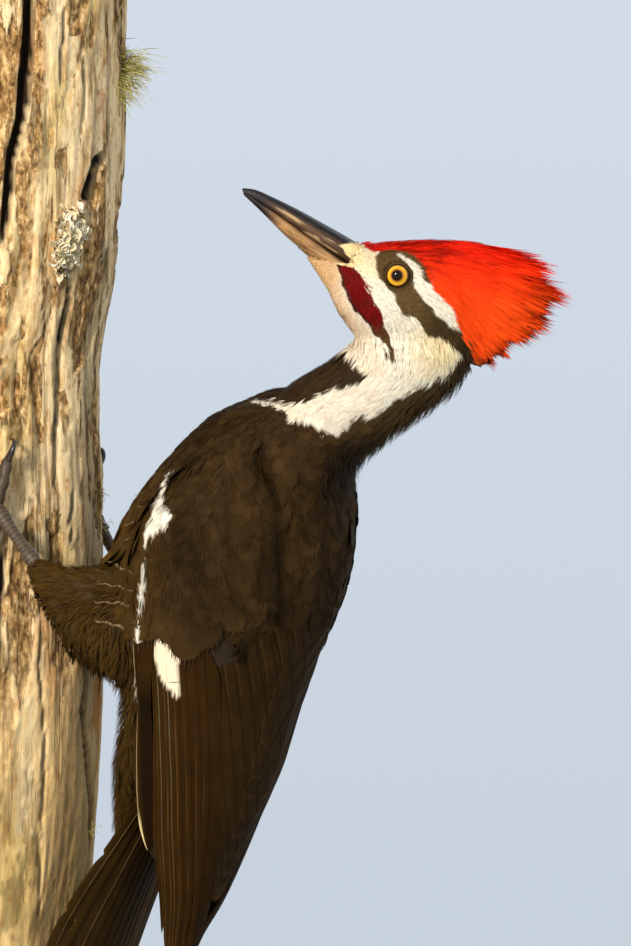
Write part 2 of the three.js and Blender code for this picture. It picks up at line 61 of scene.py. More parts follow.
# height, back, half depth, half width of the body with its closed wings
BODY_ROWS = [
    (123, 97, 3, 5), (152, 101, 9.2, 12), (170, 105.7, 14.6, 18), (182, 107, 18.5, 24),
    (200, 106, 28, 31), (223, 112, 32, 37), (247, 117.8, 33.5, 41), (271, 120.6, 41, 46),
    (294, 124.7, 47.3, 49.5), (312, 127, 48.5, 50), (330, 133, 43, 48), (347, 140.5, 35.7, 42),
    (353, 144, 33.3, 38), (359, 147, 29.5, 33), (365, 150, 26, 26.5), (369, 151, 18, 19),
    (373, 152, 6, 8),
]
HEAD_Y = -75.0
UPPER_BILL_ROWS = [
    (56.8, 448.8, 450.4, 1.1), (61, 446.2, 449.9, 1.9), (65.4, 443.4, 448.2, 2.7),
    (77.6, 434.9, 442.3, 4.7), (88.3, 427.6, 436.4, 6.4), (98.9, 420.3, 430.4, 7.7),
    (104, 417, 427, 7.6),
]
LOWER_BILL_ROWS = [
    (57.2, 447.3, 448.3, 0.9), (62.6, 442.2, 444.9, 2.1), (68.6, 436.2, 440.7, 3.3),
    (74.5, 430.4, 436.7, 4.3), (81, 425.2, 432.2, 5.3), (90, 419.2, 426, 6.6),
    (98, 414.2, 420.5, 7.3), (103, 411.5, 417.3, 7.2),
]
# share of the way down the tail, back, height, half width
TAIL_ROWS = [
    (0, 118, 242, 9), (0.1, 107, 226, 16), (0.25, 95, 203, 25), (0.42, 83, 178, 32),
    (0.58, 71.5, 154, 37.5), (0.74, 62.5, 131, 38.5), (0.88, 58.5, 111, 34), (1, 57, 92, 22),
]
EYE_X = 117.5
EYE_Z = 415.7
EYE_INSET = 12.7
EYE_RADIUS = 5.1
IRIS_RADIUS = 3.8
PUPIL_RADIUS = 2.25


def srgb(red, green, blue):
    """A colour told from 0 to 255 in each part, as linear light."""
    parts = np.array([red, green, blue]) / 255.0
    return np.where(parts <= 0.04045, parts / 12.92, ((parts + 0.055) / 1.055) ** 2.4)


DARK = srgb(59, 42, 21)
DARK_IN_SHADE = srgb(42, 34, 22)
DARK_WARM = srgb(84, 60, 22)
CREAM = srgb(255, 244, 222)
BUFF = srgb(255, 228, 168)
THROAT_SHADE_TAN = srgb(240, 190, 124)
CHIN_TAN = srgb(232, 188, 128)
RED = srgb(252, 32, 8)
RED_DEEP = srgb(206, 24, 20)
RED_ORANGE = srgb(255, 78, 16)
MALAR_RED = srgb(116, 8, 4)
NAPE_BROWN = srgb(88, 68, 38)
MASK_BROWN = srgb(104, 80, 44)
SOOT = srgb(38, 29, 20)
BRISTLE_BUFF = srgb(250, 222, 166)
BRISTLE_TAN = srgb(206, 166, 112)
BAR_PALE = srgb(168, 142, 108)
IRIS_GOLD = srgb(250, 184, 46)
IRIS_INNER = srgb(140, 76, 18)
IRIS_RIM = srgb(64, 40, 20)
PUPIL_BLACK = srgb(30, 12, 3)
EYE_BACK = srgb(40, 28, 20)
LID_BROWN = srgb(92, 70, 42)
LID_DARK = srgb(40, 28, 16)


# ---------------------------------------------------------------- general tools

def smooth_table(rows):
    """Rows of numbers as a smooth function of their first column, for whole arrays."""
    rows = np.array(rows, float)
    rows = rows[np.argsort(rows[:, 0])]
    keys = rows[:, 0]
    last = len(keys) - 1
    before = np.maximum(np.arange(last + 1) - 1, 0)
    after = np.minimum(np.arange(last + 1) + 1, last)
    slopes = (rows[after, 1:] - rows[before, 1:]) / (keys[after] - keys[before])[:, None]

    def look_up(key):
        key = np.asarray(key, float)
        row = np.clip(np.searchsorted(keys, key) - 1, 0, last - 1)
        span = (keys[row + 1] - keys[row])[..., None]
        t = np.clip((key[..., None] - keys[row][..., None]) / span, 0, 1)
        start, end = rows[row, 1:], rows[row + 1, 1:]
        value = start + (end - start) * t * t * (3 - 2 * t)
        value = value + t * (1 - t) ** 2 * slopes[row] * span
        value = value - t * t * (1 - t) * slopes[row + 1] * span
        return np.moveaxis(value, -1, 0)

    return look_up


def unit(vectors):
    return vectors / (np.linalg.norm(vectors, axis=-1, keepdims=True) + 1e-12)


def smoothstep(value, low, high):
    t = np.clip((value - low) / (high - low), 0, 1)
    return t * t * (3 - 2 * t)


def fade(value, low, high):
    """smoothstep with one more axis, as a share to mix colours by."""
    return smoothstep(value, low, high)[..., None]


def mixed(colour, other, share):
    return colour * (1 - share) + other * share


def inside(outline, x, z):
    """Which points of a plane lie inside a closed outline."""
    outline = np.array(outline, float)
    hit = np.zeros(np.shape(x), bool)
    for (x0, z0), (x1, z1) in zip(outline, np.roll(outline, -1, axis=0)):
        crosses = (z0 > z) != (z1 > z)
        with np.errstate(divide="ignore", invalid="ignore"):
            at = x0 + (z - z0) * (x1 - x0) / (z1 - z0 + 1e-12)
        hit ^= crosses & (x < at)
    return hit


def full_turn(count):
    return np.linspace(0, 2 * math.pi, count, endpoint=False)


def run_of(line):
    """How far along a line of straight lengths each of its points is."""
    lengths = np.linalg.norm(np.diff(np.array(line, float), axis=0), axis=1)
    return np.concatenate([[0], np.cumsum(lengths)])


def line_distance(line, x, z):
    """Distance from points to a line of straight lengths, and how far along it each one is."""
    line = np.array(line, float)
    starts = run_of(line)
    lengths = np.linalg.norm(np.diff(line, axis=0), axis=1)
    best = np.full(np.shape(x), 1e9)
    along = np.zeros(np.shape(x))
    for (x0, z0), (x1, z1), length, start in zip(line[:-1], line[1:], lengths, starts):
        t = np.clip(((x - x0) * (x1 - x0) + (z - z0) * (z1 - z0)) / length ** 2, 0, 1)
        away = np.hypot(x - x0 - t * (x1 - x0), z - z0 - t * (z1 - z0))
        closer = away < best
        best = np.where(closer, away, best)
        along = np.where(closer, start + t * length, along)
    return best, along / starts[-1]


def ripple(points, size, seed, waves=7):
    """Smooth blotches of about one size, from -1 to 1."""
    rng = np.random.default_rng(seed)
    total = np.zeros(len(points))
    for _ in range(waves):
        way = unit(rng.normal(size=3)) * (2 * math.pi / (size * rng.uniform(0.7, 1.6)))
        total += np.cos(points @ way + rng.uniform(0, 2 * math.pi))
    return total / math.sqrt(waves) * 0.8


def paint_points(mesh, colour):
    layer = mesh.color_attributes.new("Coat", "FLOAT_COLOR", "POINT")
    filled = np.ones((len(colour), 4), np.float32)
    filled[:, :3] = np.clip(colour, 0, 1)
    layer.data.foreach_set("color", filled.ravel())


def number_points(obj, name, values):
    layer = obj.data.attributes.new(name, "FLOAT", "POINT")
    layer.data.foreach_set("value", values.astype(np.float32))


def mesh_object(name, points, faces, colour=None, patch=None, material=None, smooth=True,
                soft=None):
    """A mesh object from arrays: points in mm, faces of one size, colour and patch by point.

    soft gives normals by point, for tufts that are to be lit as the surface under them is.
    """
    faces = np.asarray(faces, np.int32)
    sides = faces.shape[1]
    mesh = bpy.data.meshes.new(name)
    mesh.vertices.add(len(points))
    mesh.vertices.foreach_set("co", (np.asarray(points) * MM).astype(np.float32).ravel())
    mesh.loops.add(faces.size)
    mesh.loops.foreach_set("vertex_index", faces.ravel())
    mesh.polygons.add(len(faces))
    mesh.polygons.foreach_set("loop_start", np.arange(0, faces.size, sides, dtype=np.int32))
    mesh.polygons.foreach_set("use_smooth", np.full(len(faces), smooth))
    mesh.update(calc_edges=True)
    if colour is not None:
        paint_points(mesh, colour)
    if patch is not None:
        layer = mesh.uv_layers.new(name="OFBake")
        layer.data.foreach_set("uv", np.asarray(patch, np.float32)[faces.ravel()].ravel())
    if soft is not None:
        mesh.normals_split_custom_set_from_vertices(soft)
    obj = bpy.data.objects.new(name, mesh)
    bpy.context.scene.collection.objects.link(obj)
    if material is not None:
        mesh.materials.append(material)
    return obj


def declare(obj, slot, *nodes):
    """Hangs a piece on the root body and hides the solid parts that it stands for; slot, its
    finish, is not used.
    """
    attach(obj, "root")
    if nodes:
        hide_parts(*nodes)
    return obj


def join(parts):
    """Joins tuples of points, faces and more arrays by point into one set."""
    offsets = np.cumsum([0] + [len(part[0]) for part in parts[:-1]])
    joined = [np.concatenate(arrays) for arrays in zip(*parts)]
    joined[1] = np.concatenate([part[1] + offset for part, offset in zip(parts, offsets)])
    return joined


def joined_piece(name, parts, material, slot, *nodes):
    """A declared piece from tuples of points, faces and colours."""
    points, faces, colour = join(parts)
    return declare(mesh_object(name, points, faces, colour, material=material), slot, *nodes)


def grid_faces(rows, columns, wrap=False, offset=0):
    """Quads over a grid of points, row by row, closed round when wrapped."""
    row, column = np.meshgrid(np.arange(rows - 1), np.arange(columns if wrap else columns - 1),
                              indexing="ij")
    beside = (column + 1) % columns
    corners = [row * columns + column, row * columns + beside,
               (row + 1) * columns + beside, (row + 1) * columns + column]
    return np.stack([corner.ravel() for corner in corners], axis=1) + offset


def triangles(quads):
    return np.concatenate([quads[:, [0, 1, 2]], quads[:, [0, 2, 3]]])


# ---------------------------------------------------------------- places on the bird and trunk

trunk_at = smooth_table(TRUNK_ROWS)
body_at = smooth_table(BODY_ROWS)
tail_at = smooth_table(TAIL_ROWS)


def bird_point(back, left, height):
    back, left, height = np.broadcast_arrays(back, left, height)
    return np.stack([
        TRUNK_X + back * math.cos(BODY_YAW) - left * math.sin(BODY_YAW),
        TRUNK_Y - back * math.sin(BODY_YAW) - left * math.cos(BODY_YAW),
        height * 1.0,
    ], axis=-1)


def bird_place(points):
    """Back and left of points, the other way round from bird_point."""
    x, y = points[..., 0] - TRUNK_X, points[..., 1] - TRUNK_Y
    back = x * math.cos(BODY_YAW) - y * math.sin(BODY_YAW)
    left = -x * math.sin(BODY_YAW) - y * math.cos(BODY_YAW)
    return back, left


def mirrored(points):
    """The same points on the bird's other side, below the neck."""
    back, left = bird_place(points)
    return bird_point(back, -left, points[..., 2])


def flank_point(side, angle, height, lift=0.0):
    """A point over the closed wing: angle 0 is the middle of the back and 90 the flank."""
    back, deep, wide = body_at(height)
    turn = np.radians(angle)
    return bird_point(back + (deep + lift) * np.cos(turn),
                      side * (wide + lift) * np.sin(turn), height)


def flank_angle(x, height):
    """The angle at which the left flank shows at a given X."""
    angles = np.linspace(-8, 150, 317)
    shown = flank_point(1, angles, np.full(len(angles), float(height)))[:, 0]
    return float(np.interp(-x, -shown, angles))


def left_side(points):
    """Points folded over to the bird's left: through the head's middle above, the body's below."""
    back, left = bird_place(points)
    low = bird_point(back, np.abs(left), points[..., 2])
    high = points.copy()
    high[..., 1] = HEAD_Y - np.abs(points[..., 1] - HEAD_Y)
    share = smoothstep(points[..., 2], 350, 385)[..., None]
    return low * (1 - share) + high * share


# ---------------------------------------------------------------- the plumage's markings
# Outlines are in the plane of the head, as (X, Z), and are the same on both sides.

CROWN = [
    (101, 430.5), (104.1, 427.5), (108.1, 425), (113.1, 425.8), (119.3, 425.8), (123.8, 424),
    (128, 419.3), (129.8, 413), (132.3, 409.5), (137.3, 405.6), (139.6, 401), (141, 395.4),
    (144.6, 390.4), (147, 383.6), (150, 378), (200, 370), (200, 440), (100, 440),
]
BROW = [
    (116.8, 424.2), (122.7, 422.5), (126.1, 419.1), (127.2, 414.6), (130, 410.6),
    (134.5, 406.7), (137.3, 402.8), (139, 398.3), (139.9, 394.9), (137.9, 395.4),
    (132.3, 400.5), (128.9, 404.5), (125.5, 408.4), (123.8, 411.8), (123.3, 415.7),
    (122.6, 418.6), (120.6, 421.2), (116.8, 423),
]
MASK = [
    (108.6, 423.8), (111.5, 426.2), (119.3, 426.2), (123.8, 424.4), (128.4, 419.3),
    (130.2, 413), (128, 412), (125.5, 410.6), (128.9, 404.5), (132.3, 400.5), (137.9, 395.4),
    (142, 394), (145.5, 389.5), (147, 385), (141.3, 386), (137.9, 388.2), (134.5, 391.2),
    (130, 390.8), (127.2, 394.8), (123.8, 398.8), (119.3, 401), (116.5, 405.2), (115.7, 408.6),
    (113.4, 411.4), (110, 415), (108.4, 419.7),
]
MOUSTACHE = [
    (92.6, 420.2), (97, 420.6), (100.4, 419.1), (104.9, 412.9), (109.4, 403.9), (112.2, 397.1),
    (113.9, 391.5), (117.3, 383.6), (117, 379.5), (113.1, 385.9), (109.8, 391.5),
    (105.6, 397.1), (100.7, 401.6), (98, 406.1), (95, 414),
]
# where the closed bill shows, and where small feathers run out under its lower half
BILL_BASE = [
    (50, 460), (98.6, 431.5), (95.5, 430.6), (93.6, 430.4), (97, 427), (99.6, 422.6),
    (101.2, 419.4), (97.5, 419.6), (93, 420.8), (86, 422.6), (74.6, 429), (50, 444),
]
# the outline of the chin from below to the front
CHIN_LINE = [(96.6, 393.6), (94, 399.8), (89.4, 410.2), (84.8, 417.5), (81.8, 422), (75, 428.8)]
NOSTRIL = [(96.6, 426), (99, 427.2), (104, 427.4), (104, 418.6), (102.4, 419.6), (99.6, 422.6)]
CHIN = [(74, 430), (80, 426.4), (86, 422.8), (93, 420.9), (99, 419.4), (99, 404), (72, 420)]
FORENECK = [
    (40, 378), (55, 376), (72.5, 384), (92, 392), (97.1, 385.2), (100, 382), (104.7, 378.4),
    (107.5, 376.8), (104, 375.2), (92, 371.3), (78.4, 366), (59.9, 367.2), (40, 368),
]
NECK_EDGE = [
    (59.9, 366.9), (70.9, 363), (79.2, 357.8), (88.7, 354.7), (95, 353.1), (100.1, 359.8),
    (109.1, 361.4), (119.4, 369.3), (128.1, 373.2), (136.7, 377.5), (141.1, 382.7),
    (143.4, 387), (150, 392),
]
# the white of the underwing where it shows along the wing's leading edge
UNDERWING = [
    (29.4, 342), (27.2, 337.5), (25.4, 331), (25.2, 327), (28, 322), (26.4, 318.4),
    (22.8, 315.4), (19.4, 312.6), (17.8, 309.4), (17.6, 313), (19, 318.5), (21.6, 325),
    (23.8, 331), (26.3, 337.5),
]
# the line along which the wing meets the feathers of the back, painted darker along it as the
# shade in that crease
SHADED_GROOVE = [(62, 349), (66, 340), (69, 325), (71, 300), (70.5, 277)]
WHITE_EDGES = [
    ([(17.4, 304), (16.9, 297), (16.4, 290)], 0.5, 0.8),
    ([(16.4, 290), (15, 276), (13.8, 251)], 0.22, 0.2),
]


def dark_coat(folded, x, z, tone, fine):
    """Dark feathers: warmer in front and browner up the nape, with painted shade along the crease
    where the wing meets the back, and darker, cooler painted shade towards the back's outline
    below the neck.
    """
    colour = DARK * (1 + 0.26 * tone + 0.14 * fine)
    colour = mixed(colour, DARK_WARM * (1 + 0.12 * fine), fade(-folded[:, 0], -34, 4) * 0.75)
    # painted shade along the crease where the wing meets the back, deeper towards its lower end
    gap, down = line_distance(SHADED_GROOVE, x, z)
    colour = colour * (1 - (0.4 + 0.35 * down) * np.exp(-(gap / 3.2) ** 2))[:, None]
    # painted shade: darker and cooler towards the back's outline, the side turned from the key
    # light
    back_edge_shade = fade(folded[:, 0], 84, 104) * (folded[:, 2] < 350)[:, None] * 0.6
    colour = mixed(colour, DARK_IN_SHADE, back_edge_shade)
    return mixed(colour, NAPE_BROWN, fade(folded[:, 2] + folded[:, 0] * 0.4, 385, 405) * 0.8)


def pale_coat(x, z, fine):
    """Pale neck and cheek: buff behind the eye and before it, tan on the chin, and tan on the
    throat as painted shade towards its lower outline and low on the neck.
    """
    behind_eye = np.exp(-((x - 134) ** 2 + (z - 388) ** 2) / 120)[:, None] * 0.85
    before_eye = np.exp(-((x - 106) ** 2 + (z - 421) ** 2) / 60)[:, None] * 0.6
    colour = mixed(CREAM, BUFF, np.maximum(behind_eye, before_eye)) * (1 + 0.04 * fine)
    # painted shade: tan towards the throat's lower outline, where it turns from the light, and a
    # little low on the neck under the head
    under = (x - 88) * 0.83 + (z - 413) * 0.56
    throat = smoothstep(-under, -8, 0.5) * (z > 378) * (0.15 + 0.45 * smoothstep(z, 384, 401))
    throat = throat[:, None] + fade(-z, -388, -380) * (x < 112)[:, None] * 0.1
    colour = mixed(colour, THROAT_SHADE_TAN, throat)
    return mixed(colour, CHIN_TAN, fade(-x, -101, -90) * fade(z, 402, 417) * 0.9)


def malar_coat(x, z, fine):
    """The moustache: dark red, sooty along its front edge and brown at its lower end."""
    gap, _ = line_distance(MOUSTACHE[-5:] + MOUSTACHE[:2], x, z)
    colour = mixed(MALAR_RED * (1 + 0.2 * fine), SOOT, fade(-gap, -1.6, -0.2) * 0.75)
    return mixed(colour, MASK_BROWN * 0.75, fade(-z, -399, -390))


def crown_coat(points, x, z, fine):
    """The crest: red, more orange low down, deeper at the forehead and top, finely streaked darker
    as painted shade between its strands.
    """
    colour = mixed(RED, RED_ORANGE, fade(-z, -432, -398))
    colour = mixed(colour, RED_DEEP, (1 - fade(x, 103, 122)) * 0.7)
    colour = mixed(colour, RED_DEEP, fade(z, 428, 433) * 0.4)
    streaks = smoothstep(ripple(points * [0.4, 1, 1.5], 3.6, 9), -0.3, 0.6)
    streaks = streaks * smoothstep(-np.abs(x - 123), -22, -9) * smoothstep(z, 415, 422)
    # the streaks are painted shade in the gaps between strands
    colour = colour * (1 - 0.62 * streaks[:, None])
    colour = mixed(colour, MASK_BROWN, fade(-z, -388, -378) * 0.75)
    return colour * (1 + 0.12 * fine)


def coat_colour(points):
    """The plumage's colour at points over the bird, as linear light."""
    folded = left_side(points)
    x = folded[:, 0] + ripple(points, 5, 11) * 0.5
    z = folded[:, 2] + ripple(points, 5, 12) * 0.5
    tone = ripple(points, 30, 3)[:, None] + 0.6 * ripple(points * [1, 1, 0.4], 11, 5)[:, None]
    fine = ripple(points, 7, 4)[:, None]

    edge_x, edge_z = np.array(NECK_EDGE).T
    neck = (z > np.interp(x, edge_x, edge_z)) & (x > edge_x[0]) & ((x < 150) | (z > 392))
    rim = np.hypot(x - EYE_X, z - EYE_Z)
    mask_brown = MASK_BROWN * (1 - 0.5 * fade(x, 122, 134)) * (0.75 + 0.25 * fade(rim, 5.4, 7))
    white = inside(UNDERWING, x, z)
    for line, start, end in WHITE_EDGES:
        gap, along = line_distance(line, x, z)
        white |= gap < start + (end - start) * along
    white &= bird_place(folded)[1] > 14

    colour = dark_coat(folded, x, z, tone, fine)
    markings = [
        (neck, pale_coat(x, z, fine)),
        (inside(FORENECK, x, z), DARK * (1 + 0.15 * fine)),
        (inside(MASK, x, z) | (rim < 6.2), mask_brown),
        (inside(MOUSTACHE, x, z), malar_coat(x, z, fine)),
        (inside(CROWN, x, z), crown_coat(points, x, z, fine)),
        (inside(BROW, x, z), CREAM),
        (white, CREAM),
    ]
    for where, paint in markings:
        colour = np.where(where[:, None], paint, colour)
    return colour


# ---------------------------------------------------------------- materials

class Graph:
    """Short ways to fill a tree of shader nodes: each gives the output of the node it makes."""

    def __init__(self, tree):
        self.nodes, self.links = tree.nodes, tree.links

    def feed(self, socket, value):
        if isinstance(value, bpy.types.NodeSocket):
            self.links.new(value, socket)
        else:
            socket.default_value = value

    def add(self, kind, output, *by_place, **by_name):
        """A node of one kind, with its inputs by place or name and its properties by name."""
        made = self.nodes.new("ShaderNode" + kind)
        for socket, value in zip(made.inputs, by_place):
            self.feed(socket, value)
        for key, value in by_name.items():
            if key in made.bl_rna.properties:
                setattr(made, key, value)
            else:
                self.feed(made.inputs[key.replace("_", " ")], value)
        return made.outputs[output]

    def painted(self, layer, output="Color"):
        """What a mesh keeps by point under a layer's name."""
        return self.add("Attribute", output, attribute_name=layer)

    def noise(self, place, scale, detail, **values):
        return self.add("TexNoise", "Fac", Vector=place, Scale=scale, Detail=detail, **values)

    def stretched(self, place, *scale, **values):
        return self.add("Mapping", 0, Vector=place, Scale=scale, **values)

    def ramp(self, source, *stops):
        """Tones from a source, told as (place, tone), where a tone is a colour or a grey."""
        made = self.nodes.new("ShaderNodeValToRGB")
        self.links.new(source, made.inputs[0])
        while len(made.color_ramp.elements) < len(stops):
            made.color_ramp.elements.new(0.5)
        for element, (place, tone) in zip(made.color_ramp.elements, stops):
            element.position = place
            element.color = (tone, tone, tone, 1) if np.isscalar(tone) else (*tone, 1)
        return made.outputs[0]

    def blend(self, first, second, share=1.0, kind="MULTIPLY"):
        return self.add("MixRGB", 0, share, first, second, blend_type=kind)

    def bump(self, source, strength, depth, **values):
        return self.add("Bump", 0, Height=source, Strength=strength, Distance=depth, **values)


class Surface(Graph):
    """A new material, over the object's own space."""

    def __init__(self, name):
        self.material = bpy.data.materials.new(name)
        self.material.use_nodes = True
        super().__init__(self.material.node_tree)
        self.place = self.add("TexCoord", "Object")

    def finish(self, **inputs):
        """Feeds the surface's inputs by name, and gives the material."""
        shader = self.nodes["Principled BSDF"]
        for key, value in inputs.items():
            self.feed(shader.inputs[key.replace("_", " ")], value)
        return self.material


def coat_material(name, roughness=0.66, sheen=0.02, grain=1400, bump=0.2, gloss=0.22, depth=0.18):
    """Feather: the painted coat colour, broken by fine streaks, with a soft sheen."""
    feather = Surface(name)
    streaks = feather.noise(feather.place, grain, 3.0, Roughness=0.6)
    clouds = feather.noise(feather.place, 90.0, 2.0)
    streaked = feather.ramp(streaks, (0.25, 1 - depth), (0.75, 1.0))
    clouded = feather.ramp(clouds, (0.3, 1 - depth * 0.7), (0.7, 1.0))
    return feather.finish(
        Base_Color=feather.blend(feather.blend(feather.painted("Coat"), streaked), clouded),
        Roughness=feather.ramp(clouds, (0.3, roughness - 0.08), (0.7, roughness + 0.1)),
        Normal=feather.bump(streaks, bump, 0.0002),
        Sheen_Weight=sheen, Sheen_Roughness=0.4, Specular_IOR_Level=gloss,
    )


COAT = coat_material("feather_coat", sheen=0.0, gloss=0.03)
WHITE_COAT = coat_material("white_coat", sheen=0.0, gloss=0.1, depth=0.05)
CREST = coat_material("crest_coat", sheen=0.0, gloss=0.06, depth=0.06)
SKIN = coat_material("skin_under_feathers", roughness=0.8, sheen=0.05, grain=900)


# ---------------------------------------------------------------- the skin

FLESH = ["body", "neck", "head", "crest", "thigh_left", "thigh_right", "wing_left", "wing_right"]
# how far inside the solid parts' outline the skin lies, which is how thick the coat is there
COAT_DEPTH = {"body": 2.6, "neck": 2.2, "head": 1.1, "crest": 1.4, "thigh_left": 1.8,
              "thigh_right": 1.8, "wing_left": 1.8, "wing_right": 1.8}
SKIN_VOXEL = 1.25
GROWN = 0.5  # how far the parts are let out, so that they melt into one another
WELD = 0.02  # corners of a part that are closer than this are one
NEAR_FLESH = 6  # how far the flesh under a point of the skin is looked for
CREST_DRAWN_FROM = 142.0  # behind this the crest is loose strands over a shorter skin
CREST_SHORTENED = 0.62
SOCKET_DEPTH = 4.2
UNDER_BILL_HALF = 2.2


def flesh_mesh():
    """One closed skin over all the flesh, and each part of the flesh as a tree to measure from."""
    joined = bmesh.new()
    trees = {}
    for name in FLESH:
        one = bmesh.new()
        one.from_mesh(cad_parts[name].data)
        bmesh.ops.remove_doubles(one, verts=one.verts, dist=WELD * MM)
        one.normal_update()
        trees[name] = BVHTree.FromBMesh(one)
        for vert in one.verts:
            vert.co += vert.normal * (GROWN * MM)
        grown = bpy.data.meshes.new("grown")
        one.to_mesh(grown)
        joined.from_mesh(grown)
        bpy.data.meshes.remove(grown)
        one.free()
    mesh = bpy.data.meshes.new("bird_skin")
    joined.to_mesh(mesh)
    joined.free()
    skin = bpy.data.objects.new("bird_skin", mesh)
    bpy.context.scene.collection.objects.link(skin)
    remesh = skin.modifiers.new("remesh", "REMESH")
    remesh.mode = "VOXEL"
    remesh.voxel_size = SKIN_VOXEL * MM
    smooth = skin.modifiers.new("smooth", "SMOOTH")
    smooth.factor = 0.6
    smooth.iterations = 9
    made = skin.evaluated_get(bpy.context.evaluated_depsgraph_get())
    solid = bpy.data.meshes.new_from_object(made)
    skin.modifiers.clear()
    skin.data = solid
    solid.name = "bird_skin"
    bpy.data.meshes.remove(mesh)
    return skin, trees


def vertex_arrays(mesh):
    points = np.empty(len(mesh.vertices) * 3, np.float32)
    mesh.vertices.foreach_get("co", points)
    normals = np.empty(len(mesh.vertices) * 3, np.float32)
    mesh.vertices.foreach_get("normal", normals)
    return points.reshape(-1, 3).astype(float) / MM, normals.reshape(-1, 3).astype(float)


def average_over_faces(values, faces):
    """Values smoothed once over a mesh of quads, by way of its faces."""
    by_face = values[faces].mean(axis=1)
    total = np.zeros_like(values)
    count = np.zeros(len(values))
    for corner in range(faces.shape[1]):
        np.add.at(total, faces[:, corner], by_face)
        np.add.at(count, faces[:, corner], 1)
    return total / np.maximum(count, 1).reshape((-1,) + (1,) * (values.ndim - 1))


def shaped_skin(points, normals, depth):
    """The skin laid in by the depth of the coat, with eye sockets and a narrow chin and crest."""
    chin = smoothstep(-points[:, 0], -100, -92) * (points[:, 2] > 400)
    depth = depth * (1 - chin) - 0.35 * chin
    points = points - unit(normals) * (depth + GROWN)[:, None]
    crest = (points[:, 0] > CREST_DRAWN_FROM) & (points[:, 2] > 374)
    behind = (points[crest, 0] - CREST_DRAWN_FROM) * CREST_SHORTENED
    points[crest, 0] = CREST_DRAWN_FROM + behind
    folded = left_side(points)
    from_eye = np.hypot(folded[:, 0] - EYE_X, folded[:, 2] - EYE_Z)
    socket = smoothstep(-from_eye, -EYE_RADIUS - 0.3, -EYE_RADIUS + 0.9)
    socket *= (folded[:, 1] < HEAD_Y - 6) & (folded[:, 2] > 400)
    points[:, 1] += socket * np.sign(HEAD_Y - points[:, 1]) * SOCKET_DEPTH
    under_bill = inside(BILL_BASE, folded[:, 0], folded[:, 2])
    narrow = np.clip(points[:, 1] - HEAD_Y, -UNDER_BILL_HALF, UNDER_BILL_HALF) + HEAD_Y
    points[:, 1] = np.where(under_bill, narrow, points[:, 1])
    chin_x, chin_z = np.array(CHIN_LINE).T
    front = np.interp(points[:, 2], chin_z, chin_x) + 1.0
    on_chin = (points[:, 2] > 392) & (points[:, 2] < 430)
    points[:, 0] = np.where(on_chin, np.maximum(points[:, 0], front), points[:, 0])
    return points


def build_skin():
    """The skin, its faces, and the part of the flesh under each of its points."""
    skin, trees = flesh_mesh()
    mesh = skin.data
    points, normals = vertex_arrays(mesh)
    parts = np.zeros(len(points), int)
    for index, point in enumerate(points):
        spot = Vector(point * MM)
        gaps = [trees[name].find_nearest(spot, NEAR_FLESH * MM)[3] for name in FLESH]
        parts[index] = int(np.argmin([gap if gap is not None else 1.0 for gap in gaps]))
    depth = np.array([COAT_DEPTH[name] for name in FLESH])[parts]
    quads = np.array([tuple(face.vertices) for face in mesh.polygons])
    for _ in range(6):
        depth = average_over_faces(depth, quads)
        normals = average_over_faces(normals, quads)
    points = shaped_skin(points, normals, depth)
    mesh.vertices.foreach_set("co", (points * MM).astype(np.float32).ravel())
    mesh.update()
    # the skin takes the plumage's colours, darker by a fifth as painted shade under the feathers
    paint_points(mesh, coat_colour(points) * 0.8)
    mesh.materials.clear()
    mesh.materials.append(SKIN)
    mesh.polygons.foreach_set("use_smooth", np.ones(len(mesh.polygons), bool))
    declare(skin, "dark_plumage", *FLESH)
    return skin, quads, parts


# ---------------------------------------------------------------- the lie of the coat

# place (X, Z) on the head and neck, and the way the feathers there point, as (X, Z)
HEAD_LIE = [
    ((105, 429), (0.97, 0.2)), ((113, 429), (1, 0.02)), ((125, 428), (1, -0.06)),
    ((140, 428), (1, -0.05)), ((155, 427), (1, -0.08)), ((170, 418), (0.97, -0.2)),
    ((125, 420), (0.93, -0.36)), ((140, 415), (0.94, -0.34)), ((155, 410), (0.96, -0.28)),
    ((130, 410), (0.82, -0.57)), ((140, 400), (0.8, -0.6)), ((150, 395), (0.82, -0.57)),
    ((147, 385), (0.72, -0.7)), ((160, 395), (0.92, -0.38)), ((172, 404), (0.98, -0.2)),
    ((98, 420), (0.62, -0.78)), ((104, 418), (0.8, -0.6)), ((110, 412), (0.74, -0.67)),
    ((117, 407), (0.72, -0.69)), ((124, 402), (0.68, -0.73)), ((127, 414), (0.76, -0.65)),
    ((100, 408), (0.56, -0.83)), ((110, 398), (0.45, -0.89)), ((96, 412), (0.55, -0.83)),
    ((100, 396), (0.5, -0.87)), ((108, 388), (0.34, -0.94)), ((118, 395), (0.36, -0.93)),
    ((128, 392), (0.3, -0.95)), ((136, 392), (0.35, -0.94)), ((124, 383), (-0.3, -0.95)),
    ((132, 382), (-0.3, -0.95)), ((140, 384), (0.2, -0.98)), ((115, 376), (-0.8, -0.6)),
    ((125, 374), (-0.75, -0.66)), ((134, 376), (-0.55, -0.83)), ((100, 367), (-0.88, -0.48)),
    ((112, 366), (-0.82, -0.57)), ((85, 364), (-0.93, -0.38)), ((96, 358), (-0.8, -0.6)),
    ((80, 357), (-0.72, -0.7)), ((105, 380), (-0.75, -0.66)), ((90, 377), (-0.9, -0.44)),
    ((72, 376), (-0.9, -0.44)), ((66, 368), (-0.86, -0.5)), ((60, 372), (-0.85, -0.53)),
]
KNEE = {1: bird_point(92, 33, 283), -1: bird_point(92, -33, 283)}
ANKLE = {1: np.array([-26, -54, 303.5]), -1: np.array([9, 50, 298])}


